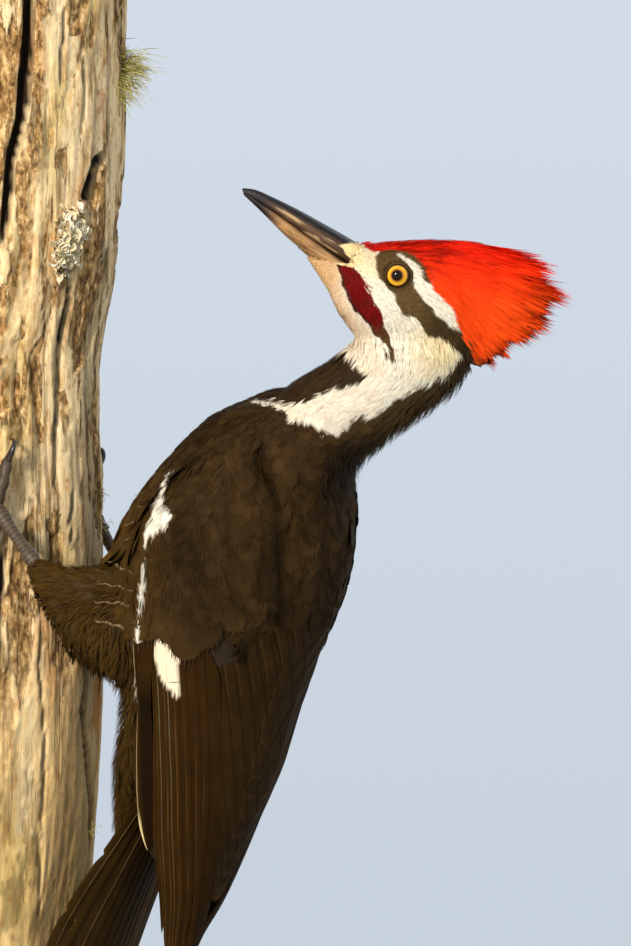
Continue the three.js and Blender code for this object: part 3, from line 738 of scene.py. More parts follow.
def lie_of_coat(points, parts):
    """The unit direction in which feathers at these points lie, before it meets the skin."""
    folded = left_side(points)
    places = np.array([place for place, _ in HEAD_LIE], float)
    ways = np.array([way for _, way in HEAD_LIE], float)
    gaps = np.linalg.norm(folded[:, None, [0, 2]] - places[None], axis=2) + 1.5
    weights = gaps ** -3
    flat = (weights[:, :, None] * ways[None]).sum(axis=1) / weights.sum(axis=1)[:, None]
    head = unit(np.stack([flat[:, 0], np.zeros(len(points)), flat[:, 1]], axis=1))
    head[:, 1] = 0.28 * np.sign(HEAD_Y - points[:, 1]) * (1 - smoothstep(points[:, 2], 380, 400))
    head[:, 1] *= -smoothstep(-points[:, 0], -125, -100)

    back, left = bird_place(points)
    centre, deep, wide = body_at(points[:, 2])
    angle = np.degrees(np.arctan2(left / wide, (back - centre) / deep))
    side = np.sign(left)
    above = flank_point(side, np.abs(angle), points[:, 2] + 4)
    below = flank_point(side, np.abs(angle), points[:, 2] - 4)
    body = unit(below - above)

    for turn, name in ((1, "thigh_left"), (-1, "thigh_right")):
        on_thigh = parts == FLESH.index(name)
        shank = unit(ANKLE[turn] - KNEE[turn])
        under = fade(-points[:, 2], -303, -270)
        thigh = unit(shank * (1 - 0.75 * under) + np.array([0, 0, -1.0]) * (0.12 + under))
        share = (on_thigh * 1.0)[:, None] * fade(angle * turn, 70, 100)
        body = unit(mixed(body, thigh, share))

    share = fade(points[:, 2], 350, 370)
    return unit(head * share + body * (1 - share))


# ---------------------------------------------------------------- laying feathers on the skin

class Ground:
    """The skin, or another surface, as something to lay feathers on."""

    def __init__(self, points, quads, normals, parts, unwrap):
        self.points = points
        self.quads = quads
        self.centres = points[quads].mean(axis=1)
        self.tree = BVHTree.FromPolygons((points * MM).tolist(), quads.tolist())
        normals = average_over_faces(average_over_faces(normals, quads), quads)
        self.face_normals = unit(normals[quads].mean(axis=1))
        self.face_parts = parts[quads[:, 0]]
        corners = points[quads]
        cross = np.cross(corners[:, 2] - corners[:, 0], corners[:, 3] - corners[:, 1])
        self.face_areas = np.linalg.norm(cross, axis=1) / 2
        self.face_unwrap = unwrap

    def on(self, *names):
        """Which faces lie over some parts of the flesh."""
        return np.isin(self.face_parts, [FLESH.index(name) for name in names])

    def scatter(self, weights, count, rng):
        """Random places on the skin, more of them where the weights by face are higher."""
        odds = self.face_areas * weights
        faces = rng.choice(len(self.quads), size=count, p=odds / odds.sum())
        a, b = rng.random((2, count, 1))
        corners = self.points[self.quads[faces]]
        low = corners[:, 0] * (1 - a) + corners[:, 1] * a
        high = corners[:, 3] * (1 - a) + corners[:, 2] * a
        return low * (1 - b) + high * b, faces

    def nearest(self, points):
        """The nearest places on the skin, and the faces that they are on."""
        spots = np.empty_like(points)
        faces = np.empty(len(points), int)
        find = self.tree.find_nearest
        for index, point in enumerate(points * MM):
            spots[index], _, faces[index], _ = find(Vector(point))
        return spots / MM, faces

    def settle(self, free, height, cling):
        """Draws points back to a height over the skin, and gives the skin's normals there."""
        spots, hit = self.nearest(free)
        outward = self.face_normals[hit]
        above = ((free - spots) * outward).sum(axis=1)
        stuck = spots + outward * height[:, None]
        gap = np.linalg.norm(free - spots, axis=1)
        loose = stuck * cling[:, None] + free * (1 - cling[:, None])
        off = (above > height) & (gap > height)
        return np.where(off[:, None], loose, stuck), outward


def well_spaced(points, gaps):
    """Keeps points in order while each is at least its gap away from those kept before it."""
    cell = float(gaps.max())
    beside = [(dx, dy, dz) for dx in (-1, 0, 1) for dy in (-1, 0, 1) for dz in (-1, 0, 1)]
    shelves = {}
    kept = []
    for index, (point, gap) in enumerate(zip(points, gaps)):
        key = tuple((point // cell).astype(int))
        close = [other for dx, dy, dz in beside
                 for other in shelves.get((key[0] + dx, key[1] + dy, key[2] + dz), ())]
        if all(np.dot(points[other] - point, points[other] - point) >= gap * gap
               for other in close):
            shelves.setdefault(key, []).append(index)
            kept.append(index)
    return np.array(kept)


def blade_faces(first, segments):
    """Triangles over a blade: pairs of points up its length, and one point at its tip."""
    tip = first + 2 * segments
    faces = []
    for low in range(first, tip - 2, 2):
        faces += [(low, low + 1, low + 3), (low, low + 3, low + 2)]
    return faces + [(tip - 2, tip - 1, tip)]


def blade_clump(rng, blades, segments, spread):
    """A clump of narrow blades from one root: rows of (along, across, lift), and triangles."""
    points, faces = [], []
    for _ in range(blades):
        start = rng.uniform(-spread, spread) * 0.5
        lean = start + rng.uniform(-spread, spread)
        reach = rng.uniform(0.72, 1.0)
        lift = rng.uniform(-0.25, 0.25)
        faces += blade_faces(len(points), segments)
        for segment in range(segments):
            t = segment / segments
            half = 0.5 * (1 - 0.55 * t)
            middle = start + (lean - start) * t * t
            points.append((t * reach, middle - half, lift * t))
            points.append((t * reach, middle + half, lift * t))
        points.append((reach, lean, lift))
    return np.array(points), np.array(faces)


def lock(rng, blades, segments, spread):
    """A pointed lock: blades that start apart and draw together at the tip."""
    points, faces = [], []
    for _ in range(blades):
        start = rng.uniform(-spread, spread)
        reach = rng.uniform(0.78, 1.0)
        faces += blade_faces(len(points), segments)
        for segment in range(segments):
            t = segment / segments
            half = 0.5 * (1 - 0.6 * t)
            middle = start * (1 - 0.86 * t ** 1.4)
            lift = 0.3 * math.sin(math.pi * t) * rng.uniform(0.6, 1.2)
            points.append((t * reach, middle - half, lift))
            points.append((t * reach, middle + half, lift))
        points.append((reach, start * 0.12, 0))
    return np.array(points), np.array(faces)


def contour_feather(rng, rows=7, columns=4, fringe=13, camber=0.11):
    """A rounded overlapping feather: one cambered vane with a soft fringe of barbs."""
    def half_width(t):
        body = math.sin(math.pi * min(1, 0.1 + 0.62 * t)) ** 0.8
        return body * math.sqrt(max(0, 1 - max(0, (t - 0.55) / 0.45) ** 2))

    points = []
    for t in (row / (rows - 1) for row in range(rows)):
        for across in (2 * column / columns - 1 for column in range(columns + 1)):
            lift = camber - 1.2 * camber * across ** 2 * t
            points.append((t, across * half_width(t) * 0.97, lift))
    faces = triangles(grid_faces(rows, columns + 1)).tolist()
    for barb in range(fringe):
        turn = 2 * (barb + rng.uniform(0.1, 0.9)) / fringe - 1
        t = 1 - 0.5 * abs(turn) ** 1.7
        across = math.copysign(half_width(min(t, 0.995)), turn) if t < 0.99 else turn * 0.2
        reach = rng.uniform(0.05, 0.24)
        first = len(points)
        points.append((t - 0.1, across * 0.9 - 0.06, camber * 0.6))
        points.append((t - 0.1, across * 0.9 + 0.06, camber * 0.6))
        points.append((t + reach, across * rng.uniform(0.85, 1.1), camber * 0.2))
        faces.append([first, first + 1, first + 2])
    return np.array(points), np.array(faces)


MIDDLE_RISE = 0.72  # a feather's height over the skin half way along, to that of its tip
COLOUR_PLACE = 0.45  # how far along itself a feather takes its colour
PATCH_REACH = 0.0014  # how far it spreads on the unwrap


def lay(ground, roots, faces, ways, lengths, widths, template, sink, rise, cling, seed,
        colour=coat_colour, above=0.0, tip_light=0.05, root_dark=0.2, tilt=0.0,
        own_colour=False, stick=1.0, blur=0.3, uneven=0.1, variety=0.045,
        facing=(1.0, 1.0, 1.0)):
    """Lays one template along the skin at many roots, and gives the joined arrays.

    above is how far over the skin the roots are, sink how deep they sit below that, rise how
    high tips stand, and cling how far a feather that leaves the skin is drawn back to it, from
    0 to 1. stick is how far its way bends to the skin. With own_colour each point takes the
    colour of its own place, and otherwise of its feather's. blur is how far markings mix at
    their edges, uneven how far each feather's slope differs and variety how far its tone does.
    facing stretches the normals along X, Y and Z, for loose feathers that are lit as one mass.
    """
    rng = np.random.default_rng(seed)
    shape, shape_faces = template
    count = len(roots)
    lengths, widths, sink, rise, cling, stick = (
        np.broadcast_to(value, count) for value in (lengths, widths, sink, rise, cling, stick))
    normals = ground.face_normals[faces]
    roots = roots + normals * above
    ways = unit(ways - normals * ((ways * normals).sum(axis=1) * stick)[:, None])
    acrosses = unit(np.cross(normals, ways))
    turn = rng.normal(0, tilt, count)[:, None]
    ways = ways * np.cos(turn) + acrosses * np.sin(turn)

    halfway = roots + ways * lengths[:, None] * 0.5
    middle, _ = ground.settle(halfway, rise * MIDDLE_RISE, cling)
    tips, tip_normal = ground.settle(roots + ways * lengths[:, None], rise, cling)
    start = (roots - normals * sink[:, None])[:, None]
    end = tips[:, None]
    control = middle[:, None] * 2 - (start + end) * 0.5

    along, across, lift = shape.T
    t = along[None, :, None]
    path = (1 - t) ** 2 * start + 2 * t * (1 - t) * control + t * t * end
    up = unit(normals[:, None] * (1 - t) + tip_normal[:, None] * t)
    soft = unit(up * np.array(facing) + rng.normal(0, uneven, (count, 1, 3)))
    step = unit(2 * (1 - t) * (control - start) + 2 * t * (end - control))
    beside = unit(np.cross(up, step))
    up = np.cross(step, beside)
    points = path + beside * (across[None, :, None] * widths[:, None, None]) \
        + up * (lift[None, :, None] * widths[:, None, None])

    offsets = (np.arange(count) * len(shape))[:, None, None]
    all_faces = (shape_faces[None, :, ::-1] + offsets).reshape(-1, 3)
    flat = points.reshape(-1, 3)
    place = roots + (tips - roots) * COLOUR_PLACE + rng.normal(0, blur, roots.shape)
    shade = np.clip(along, 0, 1)
    # each feather is painted darker towards its root, as the shade of the feathers lying over it,
    # and lighter at its tip as a painted highlight
    light = 1 - root_dark * (1 - shade) ** 1.5 + tip_light * shade ** 3
    each = np.clip(1 + rng.normal(0, variety, count), 0.5, 1.6)
    base = colour(flat).reshape(points.shape) if own_colour else colour(place)[:, None]
    paint = base * light[None, :, None] * each[:, None, None]
    centre = ground.face_unwrap[faces]
    small = np.stack([along, across / (np.abs(across).max() + 1e-9)], axis=1) * PATCH_REACH
    patch = centre[:, None] + small[None]
    return flat, all_faces, paint.reshape(-1, 3), patch.reshape(-1, 2), soft.reshape(-1, 3)


PIECE_LIMIT = 190000
FACE_TUFTS = 13000
NOSTRIL_BRISTLES = 1100
LORE_TUFTS = 900
CHIN_TUFTS = 1500
CREST_LOCKS = 6400
NECK_TUFTS = 10000
BODY_PLACES = 30000  # of which those that are far enough apart get a feather
THIGH_CLUMPS = 9000
DOWN_CLUMPS = 13500


def coat_pieces(name, slot, batches, material):
    """Joins laid feathers into pieces, each under the limit of triangles."""
    pieces, held, total = [], [], 0
    for batch in batches:
        if total + len(batch[1]) > PIECE_LIMIT:
            pieces.append(held)
            held, total = [], 0
        held.append(batch)
        total += len(batch[1])
    pieces.append(held)
    for index, group in enumerate(pieces):
        points, faces, paint, patch, soft = join(group)
        piece = mesh_object(f"{name}_{index + 1}", points, faces, paint, patch, material,
                            soft=soft)
        declare(piece, slot)


def cover(name, ground, roots, faces, rng, size, how, slot="dark_plumage", material=COAT):
    """Lays feathers at many roots, so many at a time, as how(part, count) tells for each lot."""
    batches = []
    for start in range(0, len(roots), size):
        part = slice(start, start + size)
        told = how(part, len(roots[part]))
        ways = lie_of_coat(roots[part], ground.face_parts[faces[part]])
        batches.append(lay(ground, roots[part], faces[part], ways,
                           seed=int(rng.integers(1e6)), **told))
    coat_pieces(name, slot, batches, material)


# ---------------------------------------------------------------- covering the bird

def unwrap_of(skin):
    """Unwraps the skin over its own shape and gives the middle of each face on it."""
    bpy.context.view_layer.objects.active = skin
    skin.select_set(True)
    bpy.ops.object.mode_set(mode="EDIT")
    bpy.ops.mesh.select_all(action="SELECT")
    bpy.ops.uv.smart_project(angle_limit=math.radians(70), island_margin=0.004)
    bpy.ops.object.mode_set(mode="OBJECT")
    skin.select_set(False)
    layer = skin.data.uv_layers[0]
    layer.name = "OFBake"
    flat = np.empty(len(skin.data.loops) * 2, np.float32)
    layer.data.foreach_get("uv", flat)
    return flat.reshape(-1, 4, 2).mean(axis=1)


def is_red(points):
    paint = coat_colour(points)
    return (paint[:, 0] > 0.2) & (paint[:, 1] < paint[:, 0] * 0.32) & (points[:, 2] > 380)


def cover_face(ground):
    """Short, close tufts on the face, growing longer towards the cheeks and nape."""
    rng = np.random.default_rng(31)
    folded = left_side(ground.centres)
    from_eye = np.hypot(folded[:, 0] - EYE_X, folded[:, 2] - EYE_Z)
    bill = inside(BILL_BASE, folded[:, 0], folded[:, 2])
    weights = ground.on("head", "crest") * ~is_red(ground.centres) * ~bill
    weights = weights * (from_eye > EYE_RADIUS + 0.05)
    weights = weights * (1 + 1.6 * smoothstep(-ground.centres[:, 0], -118, -100))
    roots, faces = ground.scatter(weights, FACE_TUFTS, rng)
    size = smoothstep(roots[:, 0] - roots[:, 2] * 0.35, -46, 4)
    lengths = (1.7 + 2.6 * size) * rng.uniform(0.75, 1.25, len(roots))

    def tufts(part, count):
        return dict(
            template=blade_clump(rng, 5, 2, 2.4), lengths=lengths[part],
            widths=0.22 * rng.uniform(0.8, 1.3, count), sink=0.2, rise=0.45 + 0.25 * size[part],
            cling=0.9, tilt=0.1, root_dark=0.02, own_colour=True,
        )

    cover("face_feathers", ground, roots, faces, rng, 3000, tufts, "white_plumage", WHITE_COAT)


ALONG_BILL = (-0.86, 0.0, 0.5)
UNDER_BILL = (0.7, 0.0, -0.71)


def bristles(name, surface, roots, faces, way, **how):
    """Fine tufts round the root of the bill, all lying one way."""
    batch = lay(surface, roots, faces, np.tile(way, (len(roots), 1)), sink=0.2,
                colour=bill_base_colour, root_dark=0.05, **how)
    coat_pieces(name, "white_plumage", [batch], WHITE_COAT)


def cover_nostrils(ground):
    """Bristle-like tufts that lie forward over the nostrils."""
    rng = np.random.default_rng(32)
    x, _, z = left_side(ground.centres).T
    nostril = (x < 104.5) & (x > 97) & (z > 418.8) & (z < 430) & (x + z < 531)
    roots, faces = ground.scatter(nostril * 1.0, NOSTRIL_BRISTLES, rng)
    bristles("nostril_bristles", ground, roots, faces, ALONG_BILL,
             lengths=rng.uniform(2.4, 6.4, len(roots)), widths=0.18,
             template=blade_clump(rng, 4, 3, 2.4), rise=0.9, cling=0.0, seed=33, tilt=0.09)


def cover_bill_root(maxilla):
    """Feathers that run forward from the lores over the root of the upper bill."""
    rng = np.random.default_rng(44)
    weights = inside(NOSTRIL, maxilla.centres[:, 0], maxilla.centres[:, 2]) * 1.0
    roots, faces = maxilla.scatter(weights, LORE_TUFTS, rng)
    bristles("lore_feathers", maxilla, roots, faces, ALONG_BILL,
             lengths=rng.uniform(1.6, 3.8, len(roots)), widths=0.18,
             template=blade_clump(rng, 5, 2, 2.4), rise=0.5, cling=0.6, seed=45, tilt=0.1,
             variety=0.06)


def cover_chin(mandible):
    """Small tufts along the underside of the lower mandible, where the chin begins."""
    rng = np.random.default_rng(41)
    weights = inside(CHIN, mandible.centres[:, 0], mandible.centres[:, 2]) * 1.0
    roots, faces = mandible.scatter(weights, CHIN_TUFTS, rng)
    ahead = smoothstep(-roots[:, 0], -86, -76)
    bristles("chin_feathers", mandible, roots, faces, UNDER_BILL,
             lengths=rng.uniform(3.0, 5.2, len(roots)) * (1 - 0.4 * ahead), widths=0.22,
             template=blade_clump(rng, 5, 2, 2.4), rise=0.5 + 0.5 * (1 - ahead), cling=0.3,
             seed=42, tilt=0.12)


def bill_base_colour(points):
    colour = mixed(BRISTLE_BUFF, BRISTLE_TAN, fade(-points[:, 0], -93, -80))
    return mixed(colour, MASK_BROWN, fade(points[:, 2], 429, 430.5) * 0.8)


# how far the strands of the crest reach, as (X, Z)
CREST_REACH = [
    (98, 433.4), (125, 433), (146, 432.6), (158, 432), (167, 430.4), (177, 423.6),
    (184, 410), (175.5, 399), (166, 391), (156, 384), (147, 379.5), (138, 380), (100, 410),
]


def room_ahead(roots, ways, outline, most):
    """How far each root can reach along its way before it leaves an outline."""
    room = np.zeros(len(roots))
    for reach in np.arange(1, most, 1.0):
        spot = roots + ways * reach
        still = inside(outline, spot[:, 0], spot[:, 2]) & (room == reach - 1)
        room = np.where(still, reach, room)
    return room


def cover_crown(ground):
    """The red crest: strands that fan back from the forehead and end in loose points."""
    rng = np.random.default_rng(34)
    weights = is_red(ground.centres) * (1 + 1.4 * smoothstep(ground.centres[:, 0], 138, 156))
    roots, faces = ground.scatter(weights, CREST_LOCKS, rng)
    order = np.argsort(-roots[:, 0])
    roots, faces = roots[order], faces[order]
    size = smoothstep(roots[:, 0] + (425 - roots[:, 2]) * 0.25, 106, 146)
    rear = smoothstep(roots[:, 0], 136, 150)
    room = room_ahead(roots, lie_of_coat(roots, ground.face_parts[faces]), CREST_REACH, 30)
    lengths = (5 + 16 * size + 9 * rear) * rng.uniform(0.75, 1.1, len(roots))
    spikes = ripple(roots * [0.2, 1, 1], 4.4, 36)
    ragged = 7.5 * spikes - 3.0 + rng.uniform(-1.4, 1.4, len(roots))
    lengths = np.minimum(lengths, np.maximum(room + ragged, 3.5))

    def locks(part, count):
        return dict(
            template=lock(rng, 4, 4, 2.6), lengths=lengths[part],
            widths=(0.24 + 0.16 * size[part]) * rng.uniform(0.8, 1.25, count), sink=0.3,
            rise=0.8 + 0.9 * size[part] * rng.random(count),
            cling=0.7 - 0.7 * np.maximum(rear, 0.4 * size)[part], stick=1 - 0.8 * rear[part],
            tilt=0.1, root_dark=0.1, tip_light=0.12, uneven=0.22, blur=0.6, variety=0.08,
            facing=(0.2, 1.5, 0.7),
        )

    cover("crest_feathers", ground, roots, faces, rng, 800, locks, "red_plumage", CREST)


def cover_neck(ground):
    """Hair-like neck feathers, longer and looser where they meet the body."""
    rng = np.random.default_rng(35)
    height = ground.centres[:, 2]
    weights = ground.on("neck") * 1.0
    weights += ground.on("body") * (height > 348) * 0.5
    weights += ground.on("head") * (height < 392) * 0.4
    roots, faces = ground.scatter(weights, NECK_TUFTS, rng)
    fringe = ground.face_normals[faces] @ np.array([0.7, 0.0, -0.7])
    fringe = smoothstep(fringe, 0.4, 0.9) * rng.random(len(roots)) ** 1.5
    lengths = rng.uniform(5, 9, len(roots)) * (1 + 0.5 * fringe)

    def hairs(part, count):
        return dict(
            template=blade_clump(rng, 5, 3, 2.4), lengths=lengths[part],
            widths=0.32 * rng.uniform(0.8, 1.3, count), sink=0.4,
            rise=rng.uniform(1.1, 1.8, count) + 4.6 * fringe[part],
            cling=0.75 * (1 - fringe[part]), tilt=0.13, root_dark=0.05, blur=0.4, variety=0.06,
        )

    cover("neck_feathers", ground, roots, faces, rng, 2500, hairs, "white_plumage", WHITE_COAT)


def is_loose(ground):
    """Where the skin turns under at the wing's hind edge, and feathers would stand off it."""
    under = smoothstep(-ground.face_normals[:, 2], 0.2, 0.3)
    return under * (ground.centres[:, 2] < 290) * (left_side(ground.centres)[:, 0] > 40)


def is_vent(points):
    return (left_side(points)[:, 0] < 33) & (points[:, 2] < 276)


def cover_body(ground):
    """Soft overlapping feathers over the mantle, breast, belly and vent."""
    rng = np.random.default_rng(36)
    across, height = left_side(ground.centres)[:, 0], ground.centres[:, 2]
    weights = ground.on("body") * (height > 236) * 1.0
    weights += ground.on("neck") * (height < 362) * 0.8
    weights += ground.on("wing_left", "wing_right") * (across > 58) * (height > 258) * 1.0
    weights *= ~is_vent(ground.centres)
    roots, faces = ground.scatter(weights, BODY_PLACES, rng)
    gaps = 3.0 + 1.0 * smoothstep(-roots[:, 2], -350, -300)
    kept = well_spaced(roots, gaps)
    kept = kept[np.argsort(roots[kept, 2])]
    roots, faces = roots[kept], faces[kept]
    across, height = left_side(roots)[:, 0], roots[:, 2]
    loose = is_loose(ground)[faces]
    grown = smoothstep(-height, -366, -320)
    low = smoothstep(-height, -300, -275) * (across > 50) * (1 - loose)
    lengths = (9 + 7 * grown + 7 * low) * rng.uniform(0.88, 1.14, len(roots))
    by_primaries = (across > 15) & (across < 37)
    lengths = np.where(by_primaries, np.minimum(lengths, np.maximum(height - 271, 4)), lengths)

    def feathers(part, count):
        return dict(
            template=contour_feather(rng), lengths=lengths[part],
            widths=lengths[part] * 0.36 * rng.uniform(0.9, 1.1, count), sink=0.6,
            rise=rng.uniform(1.4, 1.8, count) + 0.7 * low[part] - 0.5 * loose[part],
            cling=0.85 - 0.5 * low[part] + 0.15 * loose[part], tilt=0.16, root_dark=0.08,
            own_colour=True, variety=0.09,
        )

    cover("body_feathers", ground, roots, faces, rng, 420, feathers)


def cover_thighs(ground):
    """Fluffy clumps on the thighs and round the vent."""
    rng = np.random.default_rng(37)
    on_body = ground.on("body")
    weights = ground.on("thigh_left", "thigh_right") * 1.0
    weights += on_body * (ground.centres[:, 2] < 242) * 0.5
    weights += on_body * (left_side(ground.centres)[:, 0] < 26) * 0.3
    weights += is_vent(ground.centres) * on_body * 0.7
    roots, faces = ground.scatter(weights, THIGH_CLUMPS, rng)
    vent = is_vent(roots)
    lengths = rng.uniform(6, 11, len(roots)) * (1 + 0.3 * vent)
    free = smoothstep(-ground.face_normals[faces][:, 2], 0.1, 0.8)

    def clumps(part, count):
        return dict(
            template=blade_clump(rng, 5, 3, 2.6), lengths=lengths[part],
            widths=0.36 * rng.uniform(0.8, 1.3, count), sink=0.4,
            rise=rng.uniform(0.9, 2.0, count) * (1 + 1.2 * vent[part]),
            cling=(0.8 - 0.55 * free[part]) * (1 - 0.6 * vent[part]), tilt=0.2,
            own_colour=True, variety=0.12,
        )

    cover("thigh_feathers", ground, roots, faces, rng, 2100, clumps)


# how low the coverts reach, as (X, Z)
COVERT_TIPS = [(12, 272), (31, 270), (36, 262), (49, 255), (57, 249), (69, 241), (80, 243)]


def cover_down(ground):
    """Loose fine barbs over the body feathers and coverts, that soften their edges."""
    rng = np.random.default_rng(43)
    high = ground.centres[:, 2] > 284
    weights = ground.on("body", "wing_left", "wing_right") * high * 1.0
    roots, faces = ground.scatter(weights, DOWN_CLUMPS, rng)
    under = coat_colour(roots).max(axis=1) < 0.2
    roots, faces = roots[under], faces[under]

    def barbs(_, count):
        return dict(
            template=blade_clump(rng, 3, 3, 4.2), lengths=rng.uniform(6, 12, count),
            widths=rng.uniform(0.26, 0.46, count), above=1.5, sink=0.0,
            rise=rng.uniform(2.0, 2.7, count), cling=0.8, tilt=0.13, root_dark=0.0,
            tip_light=0.0, variety=0.16, uneven=0.06,
        )

    cover("down_feathers", ground, roots, faces, rng, 2200, barbs)


COVERTS_TOP, COVERTS_DROP = 354, 92


def covert_size(height):
    return 11 + 12 * (COVERTS_TOP - height) / COVERTS_DROP


def covert_spots(rng):
    """Where coverts root, in staggered rows down both wings, and how long each one is."""
    spots, lengths = [], []
    height = float(COVERTS_TOP)
    row = 0
    while height > 256:
        share = (COVERTS_TOP - height) / COVERTS_DROP
        size = 11 + 12 * share
        _, deep, wide = body_at(height)
        around = 0.5 * (deep + wide) * math.radians(1)
        angle = (28 if height > 330 else 8) + 0.5 * (row % 2) * size * 0.5 / around
        while angle < 118:
            for side in (-1, 1):
                nudge = rng.normal(0, 1.1, 2)
                spot = flank_point(side, angle + nudge[0], height + nudge[1], -1.0)
                tip_line = np.interp(left_side(spot)[0], *np.array(COVERT_TIPS).T)
                reach = min(size * rng.uniform(0.94, 1.06), height - tip_line)
                if reach > size * 0.5:
                    spots.append(spot)
                    lengths.append(reach)
            angle += size * 0.46 / float(around)
        height -= 4.6 + 3.2 * share
        row += 1
    return np.array(spots)[::-1], np.array(lengths)[::-1]


def cover_wings(ground):
    """The wing coverts: staggered rows that grow larger down the wing."""
    rng = np.random.default_rng(38)
    spots, lengths = covert_spots(rng)
    roots, faces = ground.nearest(spots)
    kept = is_loose(ground)[faces] < 0.5
    roots, faces, lengths, spots = roots[kept], faces[kept], lengths[kept], spots[kept]
    low = smoothstep(-roots[:, 2], -300, -278)

    def coverts(part, count):
        return dict(
            template=contour_feather(rng, 9, 6, 17, 0.08), lengths=lengths[part],
            widths=covert_size(spots[part, 2]) * 0.34, sink=0.5,
            rise=(1.5 + 0.8 * low[part]) * rng.uniform(0.95, 1.05, count),
            cling=0.9 - 0.75 * low[part], tilt=0.09, root_dark=0.06, own_colour=True,
            variety=0.09, uneven=0.06,
        )

    cover("wing_coverts", ground, roots, faces, rng, 160, coverts)


# pale bars over the flank and thigh, from the left end to the right end of each as (X, Z)
FLANK_BARS = [
    ((17.4, 333), (21.6, 335.6)), ((15.4, 327.8), (20.4, 330.2)), ((13.8, 322.6), (18.8, 325)),
    ((12, 317.4), (17, 319.2)), ((9.6, 311.8), (14.6, 312.8)), ((4, 302), (14.8, 300)),
    ((-0.6, 294.6), (15, 292.4)), ((-1.4, 288.2), (14, 286.4)), ((-1.2, 281), (11.4, 278)),
]


def cover_bars(ground):
    """Rows of small white-tipped feathers that make wavy bars over the flank and thigh."""
    rng = np.random.default_rng(39)
    spots = []
    for (x0, z0), (x1, z1) in FLANK_BARS:
        count = int(abs(x1 - x0) / 0.16)
        t = np.linspace(0, 1, count)
        x = x0 + (x1 - x0) * t
        z = z0 + (z1 - z0) * t + 0.3 * np.sin(x * 1.1 + z0) + rng.normal(0, 0.1, count)
        for place_x, place_z in zip(x, z):
            if rng.random() < 0.3:
                continue
            start = Vector((place_x * MM, -0.3, place_z * MM))
            hit = ground.tree.ray_cast(start, Vector((0, 1, 0)), 1.0)[0]
            if hit is not None:
                spots.append(np.array(hit) / MM)
    spots = np.array(spots)
    spots = np.concatenate([spots, mirrored(spots)])
    roots, faces = ground.nearest(spots)
    ways = lie_of_coat(roots, ground.face_parts[faces])
    batch = lay(
        ground, roots, faces, ways, lengths=rng.uniform(0.8, 1.3, len(roots)), widths=0.08,
        template=blade_clump(rng, 3, 2, 2.0), above=3.0, sink=0.0, rise=3.4, cling=1.0,
        colour=lambda points: np.tile(BAR_PALE, (len(points), 1)), seed=40, tilt=0.2,
        root_dark=0.1,
    )
    coat_pieces("flank_bars", "white_plumage", [batch], WHITE_COAT)


# ---------------------------------------------------------------- flight and tail feathers

FLIGHT_ROWS = 64
FLIGHT_COLUMNS = 10
PATCH_COLUMNS = 24  # how many feathers lie side by side in the unwrap
TAIL_LENGTH = 165
PRIMARY_BROWN = srgb(52, 33, 9)
SECONDARY_BROWN = srgb(52, 35, 13)
TAIL_BROWN = srgb(66, 46, 16)
SHAFT_PALE = srgb(196, 168, 124)
SHAFT_DARK = srgb(36, 25, 14)
TAIL_SHAFT = srgb(124, 98, 60)
EDGE_BROWN = srgb(100, 70, 34)


def vane_outline(t, base, tip, roundness):
    """Half width of a vane along its length: base and tip are the shares that taper."""
    start = smoothstep(t, -0.02, base) ** 0.6
    end = np.clip((1 - t) / tip, 0, 1)
    end = np.clip(1 - (1 - end) ** roundness, 0, 1) ** (1 / roundness)
    return start * end


